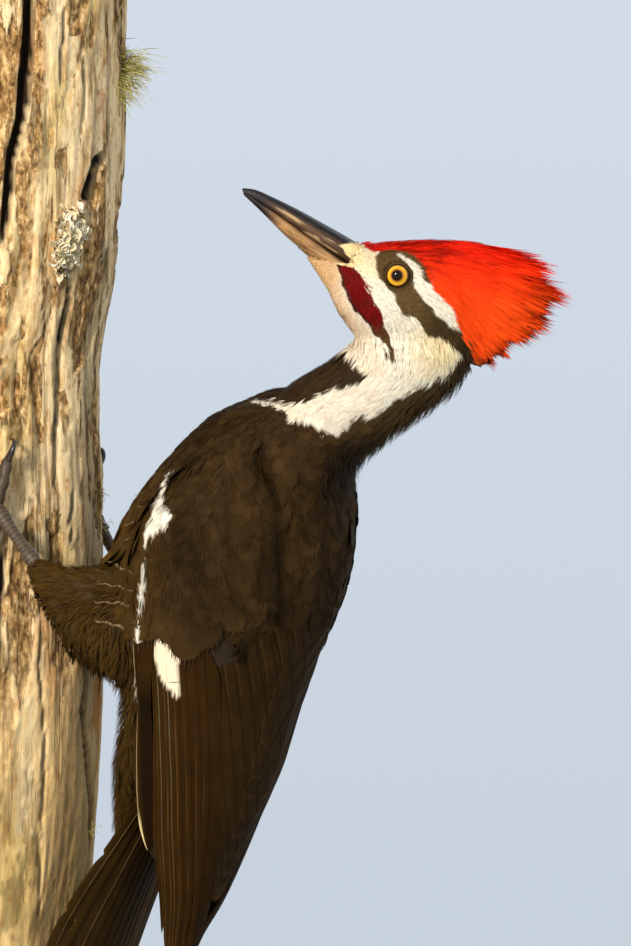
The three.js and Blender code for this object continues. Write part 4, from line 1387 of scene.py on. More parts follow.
def vane(place, length, outer, inner, rng, tip=0.12, roundness=2.0, camber=0.5, splits=3,
         base=0.08, shaft_width=0.62, paint=None, shaft_paint=SHAFT_DARK, slot=0):
    """One long feather with a raised shaft and split edges.

    place(t, across, lift) puts it on the bird; outer and inner are the widths of its two webs.
    """
    t = np.linspace(0, 1, FLIGHT_ROWS)[:, None]
    across = np.linspace(-1, 1, FLIGHT_COLUMNS + 1)[None, :]
    web = np.where(across < 0, inner, outer) * np.abs(across)
    outline = vane_outline(t, base, tip, roundness)
    cut = np.zeros((FLIGHT_ROWS, 2))
    for _ in range(splits):
        row = rng.integers(int(FLIGHT_ROWS * 0.2), FLIGHT_ROWS - 2)
        which = rng.integers(0, 2)
        cut[row, which] = rng.uniform(0.15, 0.45)
        cut[row + 1, which] = rng.uniform(0.05, 0.2)
    wear = rng.uniform(0, 0.035, (FLIGHT_ROWS, 2)) + cut
    wear = np.where(across < 0, wear[:, :1], wear[:, 1:])
    reach = web * outline * (1 - np.abs(across) ** 3 * wear) * np.sign(across)
    lean = np.abs(web) / length * 0.55 * outline
    along = np.clip(t + lean * (1 - t) ** 0.5 * 0.6, 0, 1)
    lift = camber * (1 - np.abs(across) ** 1.6) * outline
    barb = t * length - np.abs(reach) * 0.8
    points = place(along.ravel(), reach.ravel(), np.broadcast_to(lift, reach.shape).ravel())
    faces = triangles(grid_faces(FLIGHT_ROWS, FLIGHT_COLUMNS + 1))
    flat_t, flat_across = (np.broadcast_to(one, reach.shape).ravel() for one in (t, across))
    colour = paint(points, flat_t, flat_across)

    width = shaft_width * (1 - 0.75 * t) * np.array([[-0.5, 0, 0.5]])
    height = camber + np.array([[-0.1, 1, -0.1]]) * (0.42 * (1 - 0.7 * t)) - 0.05
    height = height * np.clip(outline * 1.5, 0.3, 1)
    shaft_t = np.clip(np.broadcast_to(t, width.shape) * 0.985, 0, 1).ravel()
    shaft = place(shaft_t, width.ravel(), height.ravel())
    shaft_faces = triangles(grid_faces(FLIGHT_ROWS, 3))
    own = paint(shaft, shaft_t, np.zeros(shaft_t.size))
    shaft_colour = np.where(own[:, :1] > 0.3, own * 0.85,
                            shaft_paint * (1 - 0.35 * shaft_t[:, None]))

    column = np.clip(flat_across * 0.46, -0.46, 0.46) + 0.5
    patch = np.stack([(slot + 0.04 + 0.92 * column) / PATCH_COLUMNS, 0.02 + 0.96 * flat_t],
                     axis=1)
    shaft_u = (slot + 0.5) / PATCH_COLUMNS + width.ravel() * 0.002
    shaft_patch = np.stack([shaft_u, 0.02 + 0.96 * shaft_t], axis=1)
    return join([(points, faces, colour, patch, barb.ravel()),
                 (shaft, shaft_faces, shaft_colour, shaft_patch, np.zeros(len(shaft)))])


def join_vanes(name, vanes, *nodes):
    points, faces, paint, patch, barb = join(vanes)
    piece = mesh_object(name, points, faces, paint, patch, FLIGHT)
    number_points(piece, "Barb", barb)
    declare(piece, "dark_plumage", *nodes)


def flight_material():
    """Firm feather: fine slanting barbs in colour and relief, and a low gloss."""
    feather = Surface("flight_feather")
    warp = feather.noise(feather.place, 160.0, 2.0)
    barb = feather.painted("Barb", "Fac")
    shifted = feather.add("Math", 0, warp, 2.4, barb, operation="MULTIPLY_ADD")
    scaled = feather.add("Math", 0, shifted, 8.5, operation="MULTIPLY")
    wave = feather.add("Math", 0, scaled, operation="SINE")
    spread = feather.add("MapRange", 0, Value=wave, From_Min=-1.0, To_Min=0.84, To_Max=1.08)
    clouds = feather.noise(feather.place, 60.0, 3.0)
    clouded = feather.ramp(clouds, (0.3, 0.8), (0.7, 1.05))
    return feather.finish(
        Base_Color=feather.blend(feather.blend(feather.painted("Coat"), spread), clouded),
        Roughness=feather.ramp(clouds, (0.3, 0.5), (0.7, 0.64)),
        Normal=feather.bump(wave, 0.35, 0.00012),
        Specular_IOR_Level=0.03,
    )


FLIGHT = flight_material()

# the shafts of the left wing's long feathers as (X, Z) from root to tip, from the leading edge
# inwards, with the widths of the outer and inner web
PRIMARIES = [
    ([(13.4, 280), (13, 240), (13.6, 215), (15, 200), (16.6, 189)], 2.6, 9.5),
    ([(20.4, 276), (20.6, 235), (20.9, 200), (21.2, 175), (21.8, 156)], 1.3, 5.0),
    ([(21.5, 275), (22.7, 235), (23.8, 200), (24.2, 170), (24.8, 145)], 2.0, 6.0),
    ([(25.5, 275), (26.9, 235), (28.2, 200), (28.5, 170), (27.6, 134)], 2.1, 6.5),
    ([(29.5, 275), (31.3, 235), (32.5, 200), (32.6, 170), (29.4, 126.5)], 2.2, 7.0),
    ([(33, 274), (35.2, 235), (36.5, 200), (36.4, 170), (31, 123.5)], 2.4, 7.0),
    ([(37, 272), (39.5, 235), (40.3, 200), (39.2, 170), (33, 128)], 2.6, 7.0),
    ([(41, 270), (43, 235), (43, 200), (39.6, 172), (36, 137)], 3.0, 5.6),
]
SECONDARIES = [
    ([(33.5, 268), (37, 235), (41, 205), (44.4, 184), (46.2, 168.5)], 4.4, 8.0),
    ([(38.5, 266), (42, 235), (46, 205), (48.2, 187), (49.4, 172)], 4.2, 8.5),
    ([(43.5, 264), (47, 235), (50.2, 205), (51.6, 190), (52, 178)], 4.2, 8.5),
    ([(48.5, 262), (52, 235), (54, 208), (54.8, 195), (55, 185)], 4.2, 8.5),
    ([(53.5, 262), (56.5, 237), (58.2, 214), (58.6, 202), (58.6, 193)], 4.4, 8.5),
    ([(58.5, 262), (61.2, 240), (62.4, 220), (62.6, 208), (62.4, 201)], 4.6, 8.5),
    ([(63.5, 264), (66, 244), (67, 226), (67, 216), (66.6, 209)], 4.8, 8.5),
    ([(69, 266), (71, 248), (71.6, 234), (71.6, 224), (71, 217)], 5.0, 8.0),
    ([(74.5, 272), (76, 256), (76.5, 244), (76.3, 236), (75.6, 230)], 5.0, 7.0),
    ([(80, 276), (81, 264), (81.2, 254), (80.8, 247), (80, 242)], 5.0, 6.0),
]
WHITE_PATCH = [(21.4, 282), (21.6, 266), (22.6, 262), (24.4, 257), (27.4, 253.2),
               (31, 250.4), (31.6, 266), (31.6, 282)]


def along_line(line, t):
    """The place at share t of a smooth line through a few points."""
    run = run_of(line)
    return smooth_table(np.column_stack([run / run[-1], line]))(t)


def on_wing(side, line, lifts):
    """Places a feather on the closed wing along a line given as the left wing shows it."""
    key = np.linspace(0, 1, 33)
    x, height = along_line(line, key)
    angles = np.array([flank_angle(*spot) for spot in zip(x, height)])
    angles = average_in_line(angles, 2)

    def place(t, across, lift):
        angle = np.interp(t, key, angles)
        level = np.interp(t, key, height)
        _, deep, wide = body_at(level)
        turn = np.radians(angle)
        arc = np.hypot(deep * np.sin(turn), wide * np.cos(turn)) * math.pi / 180
        angle = angle + across / np.maximum(arc, 0.07)
        rise = lift + lifts[0] + (lifts[1] - lifts[0]) * smoothstep(t, 0, 0.45)
        return flank_point(side, angle, level, rise)

    return place


def average_in_line(values, times):
    for _ in range(times):
        padded = np.concatenate([[2 * values[0] - values[1]], values,
                                 [2 * values[-1] - values[-2]]])
        values = (padded[:-2] + padded[1:-1] * 2 + padded[2:]) / 4
    return values


def primary_paint(order):
    def paint(points, t, across):
        folded = left_side(points)
        x, z = folded[:, 0], folded[:, 2]
        colour = PRIMARY_BROWN * (1 + 0.1 * ripple(points, 6, 40 + order)[:, None])
        edge = fade(across, 0.6, 1.0) * (0.9 if order in (0, 2, 3, 4) else 0.5)
        edge = edge * np.clip(0.6 + 0.5 * ripple(points, 26, 90 + order), 0.1, 1)[:, None]
        colour = mixed(colour, EDGE_BROWN, edge)
        white = inside(WHITE_PATCH, x, z) & (order in (2, 3, 4))
        colour = np.where(white[:, None], CREAM * 0.6 + BUFF * 0.4, colour)
        if order == 0:
            # painted shade on the outermost primary's inner web, in the gap between it and the
            # next feather
            inner = fade(-across, -0.15, 0.25) * 0.7
            colour = colour * (1 - inner * fade(-z, -262, -246))
            colour = mixed(colour, BUFF, fade(across, 0.55, 0.9) * 0.4)
            # a painted highlight on the outer web near the tip
            colour = mixed(colour, BUFF, fade(-z, -206, -198) * fade(across, 0.1, 0.7))
        return colour
    return paint


def secondary_paint(order):
    def paint(points, t, across):
        colour = SECONDARY_BROWN * (1 + 0.12 * ripple(points, 8, 60 + order)[:, None])
        rim = np.maximum(fade(np.abs(across), 0.8, 1.0), fade(t, 0.955, 1.0))
        return mixed(colour, EDGE_BROWN, rim * 0.4)
    return paint


def tail_paint(order):
    def paint(points, t, across):
        colour = TAIL_BROWN * (1 + 0.12 * ripple(points, 9, 80 + order)[:, None])
        colour = mixed(colour, EDGE_BROWN, fade(np.abs(across), 0.8, 1.0) * 0.35)
        return mixed(colour, EDGE_BROWN, fade(t, 0.86, 1.0) * 0.35)
    return paint


def rooted_higher(line, rise):
    """The same line begun further up, so that the root is under the feathers above."""
    first, second = np.array(line[0], float), np.array(line[1], float)
    start = first + (first - second) / (first - second)[1] * rise
    return [tuple(start)] + line


def build_wing_feathers():
    rng = np.random.default_rng(51)
    for side, name in ((1, "left"), (-1, "right")):
        primaries = []
        for order, (line, outer, inner) in enumerate(PRIMARIES):
            lifts = (-1.35 + 0.1 * order, -3.0 + 0.26 * order)
            shaft = SHAFT_PALE * 0.25 if order in (2, 3) else PRIMARY_BROWN * 0.75
            primaries.append(vane(
                on_wing(side, line, lifts), run_of(line)[-1], outer, inner, rng, tip=0.16,
                roundness=1.6, camber=0.3, splits=0 if order < 5 else 3,
                paint=primary_paint(order), shaft_paint=shaft, shaft_width=0.75, slot=order,
            ))
        join_vanes(f"primaries_{name}", primaries, f"wing_{name}_primaries")
        secondaries = []
        for order, (line, outer, inner) in enumerate(SECONDARIES):
            line = rooted_higher(line, 24)
            secondaries.append(vane(
                on_wing(side, line, (-4.2, -1.7 + 0.13 * order)), run_of(line)[-1], outer,
                inner, rng, tip=0.17, roundness=2.2, camber=0.3, paint=secondary_paint(order),
                shaft_paint=SECONDARY_BROWN * 0.75, shaft_width=0.8, slot=order,
            ))
        join_vanes(f"secondaries_{name}", secondaries, f"wing_{name}_secondaries")


# from the middle pair outwards: how far down the tail each feather ends, and its half width
TAIL_FEATHERS = [(1.0, 6.4), (0.985, 6.4), (0.955, 6.2), (0.905, 6.0), (0.84, 5.4), (0.76, 4.6)]


def on_tail(side, order, end):
    """Places a feather of the tail, which fans out from its root and rounds down at its sides."""
    root, tip = side * (1.2 + order * 1.15), side * (3.4 + order * 5.9)
    level = 1.3 - order * 0.5 + 0.1 * side

    def place(t, across, lift):
        share = np.clip(t * end, 0, 1)
        back, height, _ = tail_at(share)
        back_next, height_next, _ = tail_at(np.clip(share + 0.01, 0, 1))
        back_last, height_last, _ = tail_at(np.clip(share - 0.01, 0, 1))
        run = np.hypot(back_next - back_last, height_next - height_last)
        out_back = -(height_next - height_last) / run
        out_height = (back_next - back_last) / run
        left = root + (tip - root) * smoothstep(t, -0.1, 0.85) + across
        out = lift + level * (1 - 0.45 * t) - left * left / 190
        return bird_point(back + out_back * out, left, height + out_height * out)

    return place


def build_tail():
    """Twelve stiff pointed feathers, the middle ones longest and on top, braced on the trunk."""
    rng = np.random.default_rng(52)
    feathers = []
    for order, (end, half) in reversed(list(enumerate(TAIL_FEATHERS))):
        for side in (-1, 1):
            outer, inner = (half * 0.85, half) if side > 0 else (half, half * 0.85)
            feathers.append(vane(
                on_tail(side, order, end), TAIL_LENGTH * end, outer, inner, rng, tip=0.2,
                roundness=1.25, camber=0.7, splits=5, paint=tail_paint(order),
                shaft_paint=TAIL_SHAFT if order in (3, 5) else SHAFT_DARK, shaft_width=1.3,
                slot=order * 2 + (side > 0),
            ))
    join_vanes("tail_feathers", feathers, "tail")


# ---------------------------------------------------------------- swept and lofted forms

def sweep(stations, across, sides, rows, relief=None):
    """A closed tube through stations of (place, deep, wide), as points and triangles.

    relief(t, turn) gives how far the surface stands out, for t from 0 to 1 along the tube.
    """
    places = np.array([place for place, _, _ in stations], float)
    sizes = np.array([(deep, wide) for _, deep, wide in stations], float)
    run = run_of(places)
    t = np.linspace(0, 1, rows)
    x, y, z, deep, wide = smooth_table(np.column_stack([run / run[-1], places, sizes]))(t)
    middle = np.stack([x, y, z], axis=1)
    along = unit(np.gradient(middle, axis=0))
    beside = unit(across - along * (along @ across)[:, None])
    up = np.cross(beside, along)
    turn = full_turn(sides)
    out = np.zeros((rows, sides)) if relief is None else relief(t[:, None], turn[None, :])
    ring_up = up[:, None] * ((deep[:, None] + out) * np.sin(turn))[..., None]
    ring_side = beside[:, None] * ((wide[:, None] + out) * np.cos(turn))[..., None]
    points = (middle[:, None] + ring_up + ring_side).reshape(-1, 3)
    points = np.concatenate([points, middle[:1] - along[:1] * deep[0] * 0.25,
                             middle[-1:] + along[-1:] * deep[-1] * 0.4])
    faces = [triangles(grid_faces(rows, sides, wrap=True))]
    ring = np.arange(sides)
    first, last = rows * sides, rows * sides + 1
    faces.append(np.stack([np.full(sides, first), (ring + 1) % sides, ring], axis=1))
    end = (rows - 1) * sides
    faces.append(np.stack([np.full(sides, last), end + ring, end + (ring + 1) % sides], axis=1))
    share = np.concatenate([np.repeat(t, sides), [0, 1]])
    around = np.concatenate([np.tile(turn, rows), [0, 0]])
    return points, np.concatenate(faces), share, around


def painted_material(name, roughness, grain, stretch=(1, 1, 1), bump=0.3, coat=0.0,
                     coat_roughness=0.15, contrast=0.2, slant=0.0, gloss=0.5):
    """A surface with its own painted colour, varied and roughened by a stretched grain.

    slant is the angle in degrees by which the grain's long way leans down from +X.
    """
    skin = Surface(name)
    along = skin.stretched(skin.place, *[1 / share for share in stretch], vector_type="TEXTURE",
                           Rotation=(0, math.radians(slant), 0))
    noise = skin.noise(along, grain, 5.0, Roughness=0.62)
    spread = skin.ramp(noise, (0.28, 1 - contrast), (0.72, 1 + contrast * 0.25))
    return skin.finish(
        Base_Color=skin.blend(skin.painted("Coat"), spread),
        Roughness=skin.ramp(noise, (0.3, roughness - 0.07), (0.7, roughness + 0.09)),
        Normal=skin.bump(noise, bump, 0.0002),
        Coat_Weight=coat, Coat_Roughness=coat_roughness, Specular_IOR_Level=gloss,
    )


# ---------------------------------------------------------------- bill and eyes

BILL_TOP = srgb(30, 26, 23)
BILL_SIDE = srgb(94, 66, 44)
BILL_SCUFF = srgb(214, 176, 126)
BILL_PALE = srgb(174, 130, 82)
BILL_TIP = srgb(36, 31, 31)
BILL_ROOT = srgb(222, 184, 130)
BILL_RINGS, BILL_SIDES = 100, 56
BILL_OVERLAP = 0.45  # the closed halves meet with no gap between them


def bill_colour(points, level, along, upper):
    """The horn's colour: level is 1 at the outer ridge, and along runs from tip to root."""
    lengthwise = points @ np.array([[0.864, 0, 0.504], [0, 1, 0], [-0.504, 0, 0.864]])
    streak = ripple(lengthwise * [0.25, 1.0, 2.2], 6, 61 if upper else 62)
    fine = ripple(lengthwise * [0.3, 1.5, 4.0], 5, 64)
    grain = ripple(lengthwise * [0.12, 1.0, 3.0], 2.4, 66)
    level = (level + 0.12 * streak)[:, None]
    along = (along + 0.03 * streak)[:, None]
    mottle = np.clip(1 + 0.3 * streak + 0.2 * fine + 0.16 * grain, 0.4, 1.7)[:, None]
    if upper:
        colour = mixed(BILL_SIDE * mottle, BILL_TOP, smoothstep(level, 0.12, 0.6))
        scuff = fade(streak + 0.6 * fine + 0.6 * grain, 0.6, 0.9)
        scuff = scuff * smoothstep(-level, -0.6, -0.25) * smoothstep(along, 0.2, 0.35) * 0.7
        colour = mixed(colour, BILL_SCUFF, scuff)
    else:
        share = smoothstep(-level, -0.2, 0.7) * smoothstep(along, 0.2, 0.6)
        colour = mixed(BILL_PALE, BILL_SIDE, share) * mottle
        root = smoothstep(along, 0.5, 0.85) * smoothstep(level, -0.3, 0.4) * 0.6
        colour = mixed(colour, BILL_ROOT, root)
    colour = mixed(colour, BILL_TIP, 1 - smoothstep(along, 0.13, 0.36))
    return mixed(colour, BILL_TIP, smoothstep(-level, 0.6, 0.95) * 0.6)


def bill_half(rows, upper):
    """One half of the bill: a ridged culmen above, or a keeled gonys below."""
    table = smooth_table(rows)
    keys = np.linspace(rows[0][0], rows[-1][0], BILL_RINGS)
    low, high, half = table(keys)
    low, high = (low - BILL_OVERLAP, high) if upper else (low, high + BILL_OVERLAP)
    turn = full_turn(BILL_SIDES)[None, :]
    sine, cosine = np.sin(turn), np.cos(turn)
    outward = sine if upper else -sine
    rise = np.sign(sine) * np.abs(sine) ** np.where(outward > 0, 1.22, 0.5)
    middle = (low * 0.58 + high * 0.42) if upper else (low * 0.42 + high * 0.58)
    reach = np.where(sine > 0, (high - middle)[:, None], (middle - low)[:, None])
    bevel = np.ones_like(turn)
    if upper:
        for corner in (0.72, math.pi - 0.72):
            bevel += 0.09 * np.exp(-((turn - corner) / 0.26) ** 2)
    y = HEAD_Y + half[:, None] * np.sign(cosine) * np.abs(cosine) ** 0.86 * bevel
    z = middle[:, None] + reach * rise
    x = np.repeat(keys[:, None], BILL_SIDES, axis=1)
    points = np.stack([x, y, z], axis=-1).reshape(-1, 3)
    tip = np.array([[rows[0][0] - 0.7, HEAD_Y, (rows[0][1] + rows[0][2]) / 2 + 0.5]])
    ring = np.arange(BILL_SIDES)
    cap = np.stack([np.full(BILL_SIDES, len(points)), (ring + 1) % BILL_SIDES, ring], axis=1)
    faces = np.concatenate([triangles(grid_faces(len(keys), BILL_SIDES, wrap=True)), cap])
    points = np.concatenate([points, tip])
    level = np.concatenate([np.broadcast_to(outward, x.shape).ravel(), [0]])
    share = (keys - keys[0]) / (keys[-1] - keys[0])
    along = np.concatenate([np.repeat(share, BILL_SIDES), [0]])
    return points, faces, bill_colour(points, level, along, upper)


def build_bill():
    horn = painted_material("bill_horn", 0.48, 170, (1.0, 5.0, 6.0), contrast=0.5, slant=30.2,
                            gloss=0.2)
    halves = []
    for name, rows in (("upper", UPPER_BILL_ROWS), ("lower", LOWER_BILL_ROWS)):
        half = bill_half(rows, name == "upper")
        halves.append(joined_piece(f"{name}_bill", [half], horn, f"{name}_bill",
                                   f"bill_{name}"))
    return halves


def eye_places(side, radius, lift, turn):
    """Places round an eye's axis: how far out from it, how far along it, and the turn about it."""
    middle = np.array([EYE_X, HEAD_Y - side * EYE_INSET, EYE_Z])
    outward = unit(np.array([-0.13, -side * 1.0, 0.03]))
    forward = unit(np.cross(outward, [0, 0, 1.0]) * side)
    up = np.cross(forward, outward) * side
    return (middle + outward * lift[..., None] + forward * (radius * np.cos(turn))[..., None]
            + up * (radius * np.sin(turn))[..., None])


def build_eyes():
    """Golden eyes with a fine radial grain, a dark pupil and a wet gloss."""
    wet = painted_material("eye_gloss", 0.4, 900, bump=0.02, coat=0.4, coat_roughness=0.07,
                           contrast=0.08, gloss=0.0)
    rows, columns = 70, 96
    fibres = np.random.default_rng(71).normal(0, 1, columns)
    for side, name in ((1, "left"), (-1, "right")):
        tilt = np.linspace(0, math.pi, rows)[:, None] * np.ones(columns)
        turn = full_turn(columns)[None, :] * np.ones((rows, 1))
        radius = EYE_RADIUS + 0.15 * np.exp(-(tilt / 0.6) ** 2)
        ring = radius * np.sin(tilt)
        points = eye_places(side, ring, radius * np.cos(tilt), turn)
        fibre = np.tile(fibres, (rows, 1)) * 0.09
        gold = IRIS_GOLD * (1 + fibre[..., None])
        inner = np.exp(-((ring - PUPIL_RADIUS - 0.05) / 0.6) ** 2)[..., None]
        colour = mixed(gold, IRIS_INNER, 0.75 * inner)
        colour = mixed(colour, IRIS_RIM, fade(ring, IRIS_RADIUS - 0.15, IRIS_RADIUS + 0.3))
        pupil = 1 - fade(ring, PUPIL_RADIUS - 0.25, PUPIL_RADIUS + 0.15)
        colour = mixed(colour, PUPIL_BLACK, pupil)
        colour = np.where((tilt > 1.3)[..., None], EYE_BACK, colour)
        ball = (points.reshape(-1, 3), triangles(grid_faces(rows, columns, wrap=True)),
                colour.reshape(-1, 3))
        joined_piece(f"eye_{name}_ball", [ball], wet, "eye", f"eye_{name}")


def build_lids():
    """A ring of bare, finely folded skin round each eye, heavier above."""
    bare = painted_material("bare_lid_skin", 0.7, 2600, bump=0.5, contrast=0.35, gloss=0.05)
    rng = np.random.default_rng(72)
    around, across = 120, 14
    turn = full_turn(around)[:, None]
    bend = full_turn(across)[None, :]
    upper = np.clip(np.sin(turn), 0, 1)
    folds = 0.05 * np.sin(turn * 34 + 1.3 * np.sin(turn * 5))
    thick = 0.34 + 0.1 * upper + folds
    centre = 4.98 - 0.12 * upper
    centre = centre + 0.35 * np.exp(-((np.cos(turn) + 1) / 0.12) ** 2)
    ring = centre + thick * np.cos(bend)
    lift = 1.7 + 0.35 * upper + thick * 0.75 * np.sin(bend)
    inner = fade(-np.cos(bend), -0.1, 0.8) * np.ones_like(ring)[..., None]
    skin = mixed(LID_BROWN, LID_DARK, inner)
    seam = np.arange(across)
    last = (around - 1) * across
    close = np.stack([last + seam, last + (seam + 1) % across, (seam + 1) % across, seam], axis=1)
    faces = triangles(np.concatenate([grid_faces(around, across, wrap=True), close]))
    parts = []
    for side in (1, -1):
        points = eye_places(side, ring, lift, turn)
        colour = skin * (1 + rng.normal(0, 0.05, ring.shape))[..., None]
        parts.append((points.reshape(-1, 3), faces, colour.reshape(-1, 3)))
    joined_piece("eyelids", parts, bare, "leg_scale")


# ---------------------------------------------------------------- legs and feet

FEET = {
    "left": {"azimuth": -76, "height": 325, "hind": 172, "side": 1},
    "right": {"azimuth": 34, "height": 322, "hind": -110, "side": -1},
}
# heading from straight up in degrees, length, radius, and reach of the claw
TOES = {"inner": (-16, 20, 2.9, 12), "middle": (14, 26, 3.1, 13), "outer": (78, 27, 3.1, 13),
        "hind": (None, 11, 2.5, 9)}
SCALE_GREY = srgb(66, 50, 34)
SCALE_PALE = srgb(112, 90, 62)
CLAW_DARK = srgb(40, 33, 28)


def trunk_surface(azimuth, height, above=0.0):
    """A point over the trunk's even outline; azimuth 0 is +X and -90 is -Y."""
    shift, radius = trunk_at(height)
    turn = np.radians(azimuth)
    wave = 1.1 * np.sin(5 * turn + height / 90) + 0.7 * np.sin(9 * turn - height / 60)
    reach = radius + wave * 0.8 + above
    return np.stack([TRUNK_X + shift + reach * np.cos(turn),
                     TRUNK_Y + reach * np.sin(turn), height * np.ones_like(reach)], axis=-1)


def step_on_trunk(foot, heading, distance, above):
    _, radius = trunk_at(foot["height"])
    turn = math.radians(heading)
    outward = -1 if foot["azimuth"] < -30 else 1
    swing = math.degrees(distance * math.sin(turn) / radius) * outward
    return trunk_surface(foot["azimuth"] + swing, foot["height"] + distance * math.cos(turn),
                         above)


def across_toe(foot, heading):
    around, turn = math.radians(foot["azimuth"]), math.radians(heading)
    outward = -1 if foot["azimuth"] < -30 else 1
    level = np.array([-math.sin(around), math.cos(around), 0]) * math.cos(turn) * outward
    return level + np.array([0, 0, -math.sin(turn)])


def scutes(count, height, phase=0.0):
    """Overlapping scutes down the upper side of a leg or toe, with small scales beneath."""
    def relief(t, turn):
        step = (t * count + phase) % 1
        plate = height * (0.25 + 0.75 * step) - height * 0.9 * np.exp(-(step / 0.12) ** 2)
        top = smoothstep(np.sin(turn), -0.35, 0.25)
        small = 0.35 * height * np.sin(t * count * 4 * math.pi + 2 * np.sin(turn * 5)) \
            * np.sin(turn * 9 + t * 20)
        return plate * top + small * (1 - top)
    return relief


def scale_paint(share, around, count, phase=0.0):
    step = (share * count + phase) % 1
    top = smoothstep(np.sin(around), -0.35, 0.25)
    pale = (smoothstep(step, 0.1, 0.9) * 0.55 * top + 0.25 * (1 - top))[:, None]
    gap = (np.exp(-(step / 0.13) ** 2) * top)[:, None]
    return mixed(SCALE_GREY, SCALE_PALE, pale) * (1 - 0.65 * gap)


def tarsus(foot):
    """The scaly leg from the ankle to where the toes meet."""
    ankle = ANKLE[foot["side"]]
    centre = trunk_surface(foot["azimuth"], foot["height"], 4.8)
    girths = [(-0.06, 2.0, 2.0), (0.05, 3.3, 3.1), (0.25, 2.7, 2.4), (0.6, 2.5, 2.3),
              (0.9, 3.4, 3.3), (1.07, 2.0, 2.0)]
    stations = [(ankle * (1 - share) + centre * share, deep, wide)
                for share, deep, wide in girths]
    across = np.array([0.2, 0.1, 1.0]) if foot["side"] > 0 else np.array([0, 0.3, 1.0])
    points, faces, share, around = sweep(stations, across, 28, 110, scutes(17, 0.22))
    return points, faces, scale_paint(share, around, 17)


def toe_and_claw(foot, heading, length, radius, reach):
    """A toe that lies along the trunk with a low arch, and its hooked claw."""
    across = across_toe(foot, heading)
    stations = []
    for share in (0.02, 0.16, 0.34, 0.5, 0.66, 0.82, 0.97):
        knuckle = 1 + 0.1 * math.cos((share - 0.16) * 6 * math.pi)
        size = radius * (1 - 0.28 * share) * knuckle
        arch = 2.0 * math.sin(share * math.pi)
        spot = step_on_trunk(foot, heading, length * share, radius + 0.5 + arch)
        stations.append((spot, size, size * 0.95))
    count = int(length / 2.2)
    points, faces, share, around = sweep(stations, across, 22, 60, scutes(count, 0.34))
    toe = (points, faces, scale_paint(share, around, count))
    stations = []
    for share in (0, 0.15, 0.35, 0.6, 0.8, 1):
        lift = radius + 1.2 + reach * (0.36 * math.sin(share * 2.3) - 0.27 * share ** 2)
        lift = max(lift - share ** 3 * (radius + 0.6), 0.4)
        size = radius * (0.82 - 0.72 * share)
        ahead = length - 0.6 + reach * 0.74 * math.sin(share * 1.5)
        stations.append((step_on_trunk(foot, heading, ahead, lift), size, size * 0.66))
    points, faces, share, around = sweep(stations, across, 18, 40)
    return toe, (points, faces, mixed(CLAW_DARK, SCALE_PALE, fade(-share, -0.3, 0.05) * 0.4))


def build_feet():
    scaly = painted_material("leg_scales", 0.5, 1500, bump=0.45, contrast=0.3)
    horn = painted_material("claw_horn", 0.3, 700, bump=0.2, coat=0.25, contrast=0.25)
    for name, foot in FEET.items():
        parts, claws = [tarsus(foot)], []
        for heading, length, radius, reach in TOES.values():
            heading = foot["hind"] if heading is None else heading
            toe, claw = toe_and_claw(foot, heading, length, radius, reach)
            parts.append(toe)
            claws.append(claw)
        joined_piece(f"foot_{name}", parts, scaly, "leg_scale", f"tarsus_{name}",
                     *[f"toe_{toe}_{name}" for toe in TOES])
        joined_piece(f"claws_{name}", claws, horn, "claw_horn",
                     *[f"claw_{toe}_{name}" for toe in TOES])


# ---------------------------------------------------------------- the perch

BARK_COLUMNS = 310
END_RINGS = 30
# azimuth in radians and length of each drying split in the sawn ends
SPLITS = [(0.4, 52), (1.9, 34), (2.8, 50), (-1.0, 40), (-2.2, 54), (-0.2, 26)]
BARK_ROWS = 390
LOG_BOTTOM = 56
LOG_TOP = 535
TRUNK_RADIUS = 57.5
# how far the wood is raised at most to meet a foot, and how near it has to be
RAISE_MOST = 1.6
RAISE_WITHIN = 5.5
WOOD_CREAM = srgb(255, 226, 174)
WOOD_GOLD = srgb(255, 216, 146)
WOOD_BROWN = srgb(140, 102, 56)
WOOD_OLIVE = srgb(218, 190, 112)
WOOD_GREY = srgb(176, 144, 100)
CRACK_SHADE = srgb(42, 30, 18)
WOOD_PALE = srgb(255, 230, 176)
WOOD_ORANGE = srgb(214, 136, 56)
WOOD_MOSS = srgb(112, 92, 46)
RUST = srgb(196, 112, 52)


def lattice(around, height, cells, tall, seed):
    """Smooth noise on the trunk, from -1 to 1: cells round it, each so many mm tall."""
    rng = np.random.default_rng(seed)
    rows = int((LOG_TOP + 200) / tall) + 3
    values = rng.uniform(-1, 1, (rows, cells))
    u = (around / (2 * math.pi) * cells) % cells
    v = height / tall
    column, row = u.astype(int) % cells, v.astype(int)
    a, b = u - np.floor(u), v - row
    a, b = a * a * (3 - 2 * a), b * b * (3 - 2 * b)
    beside = (column + 1) % cells
    low = mixed(values[row, column], values[row, beside], a)
    high = mixed(values[row + 1, column], values[row + 1, beside], a)
    return mixed(low, high, b)


def azimuth_at(x, height):
    """Where on the near right of the trunk a given X shows."""
    shift, radius = trunk_at(float(height))
    return -math.acos(max(-1.0, min(1.0, (x - TRUNK_X - shift) / radius)))


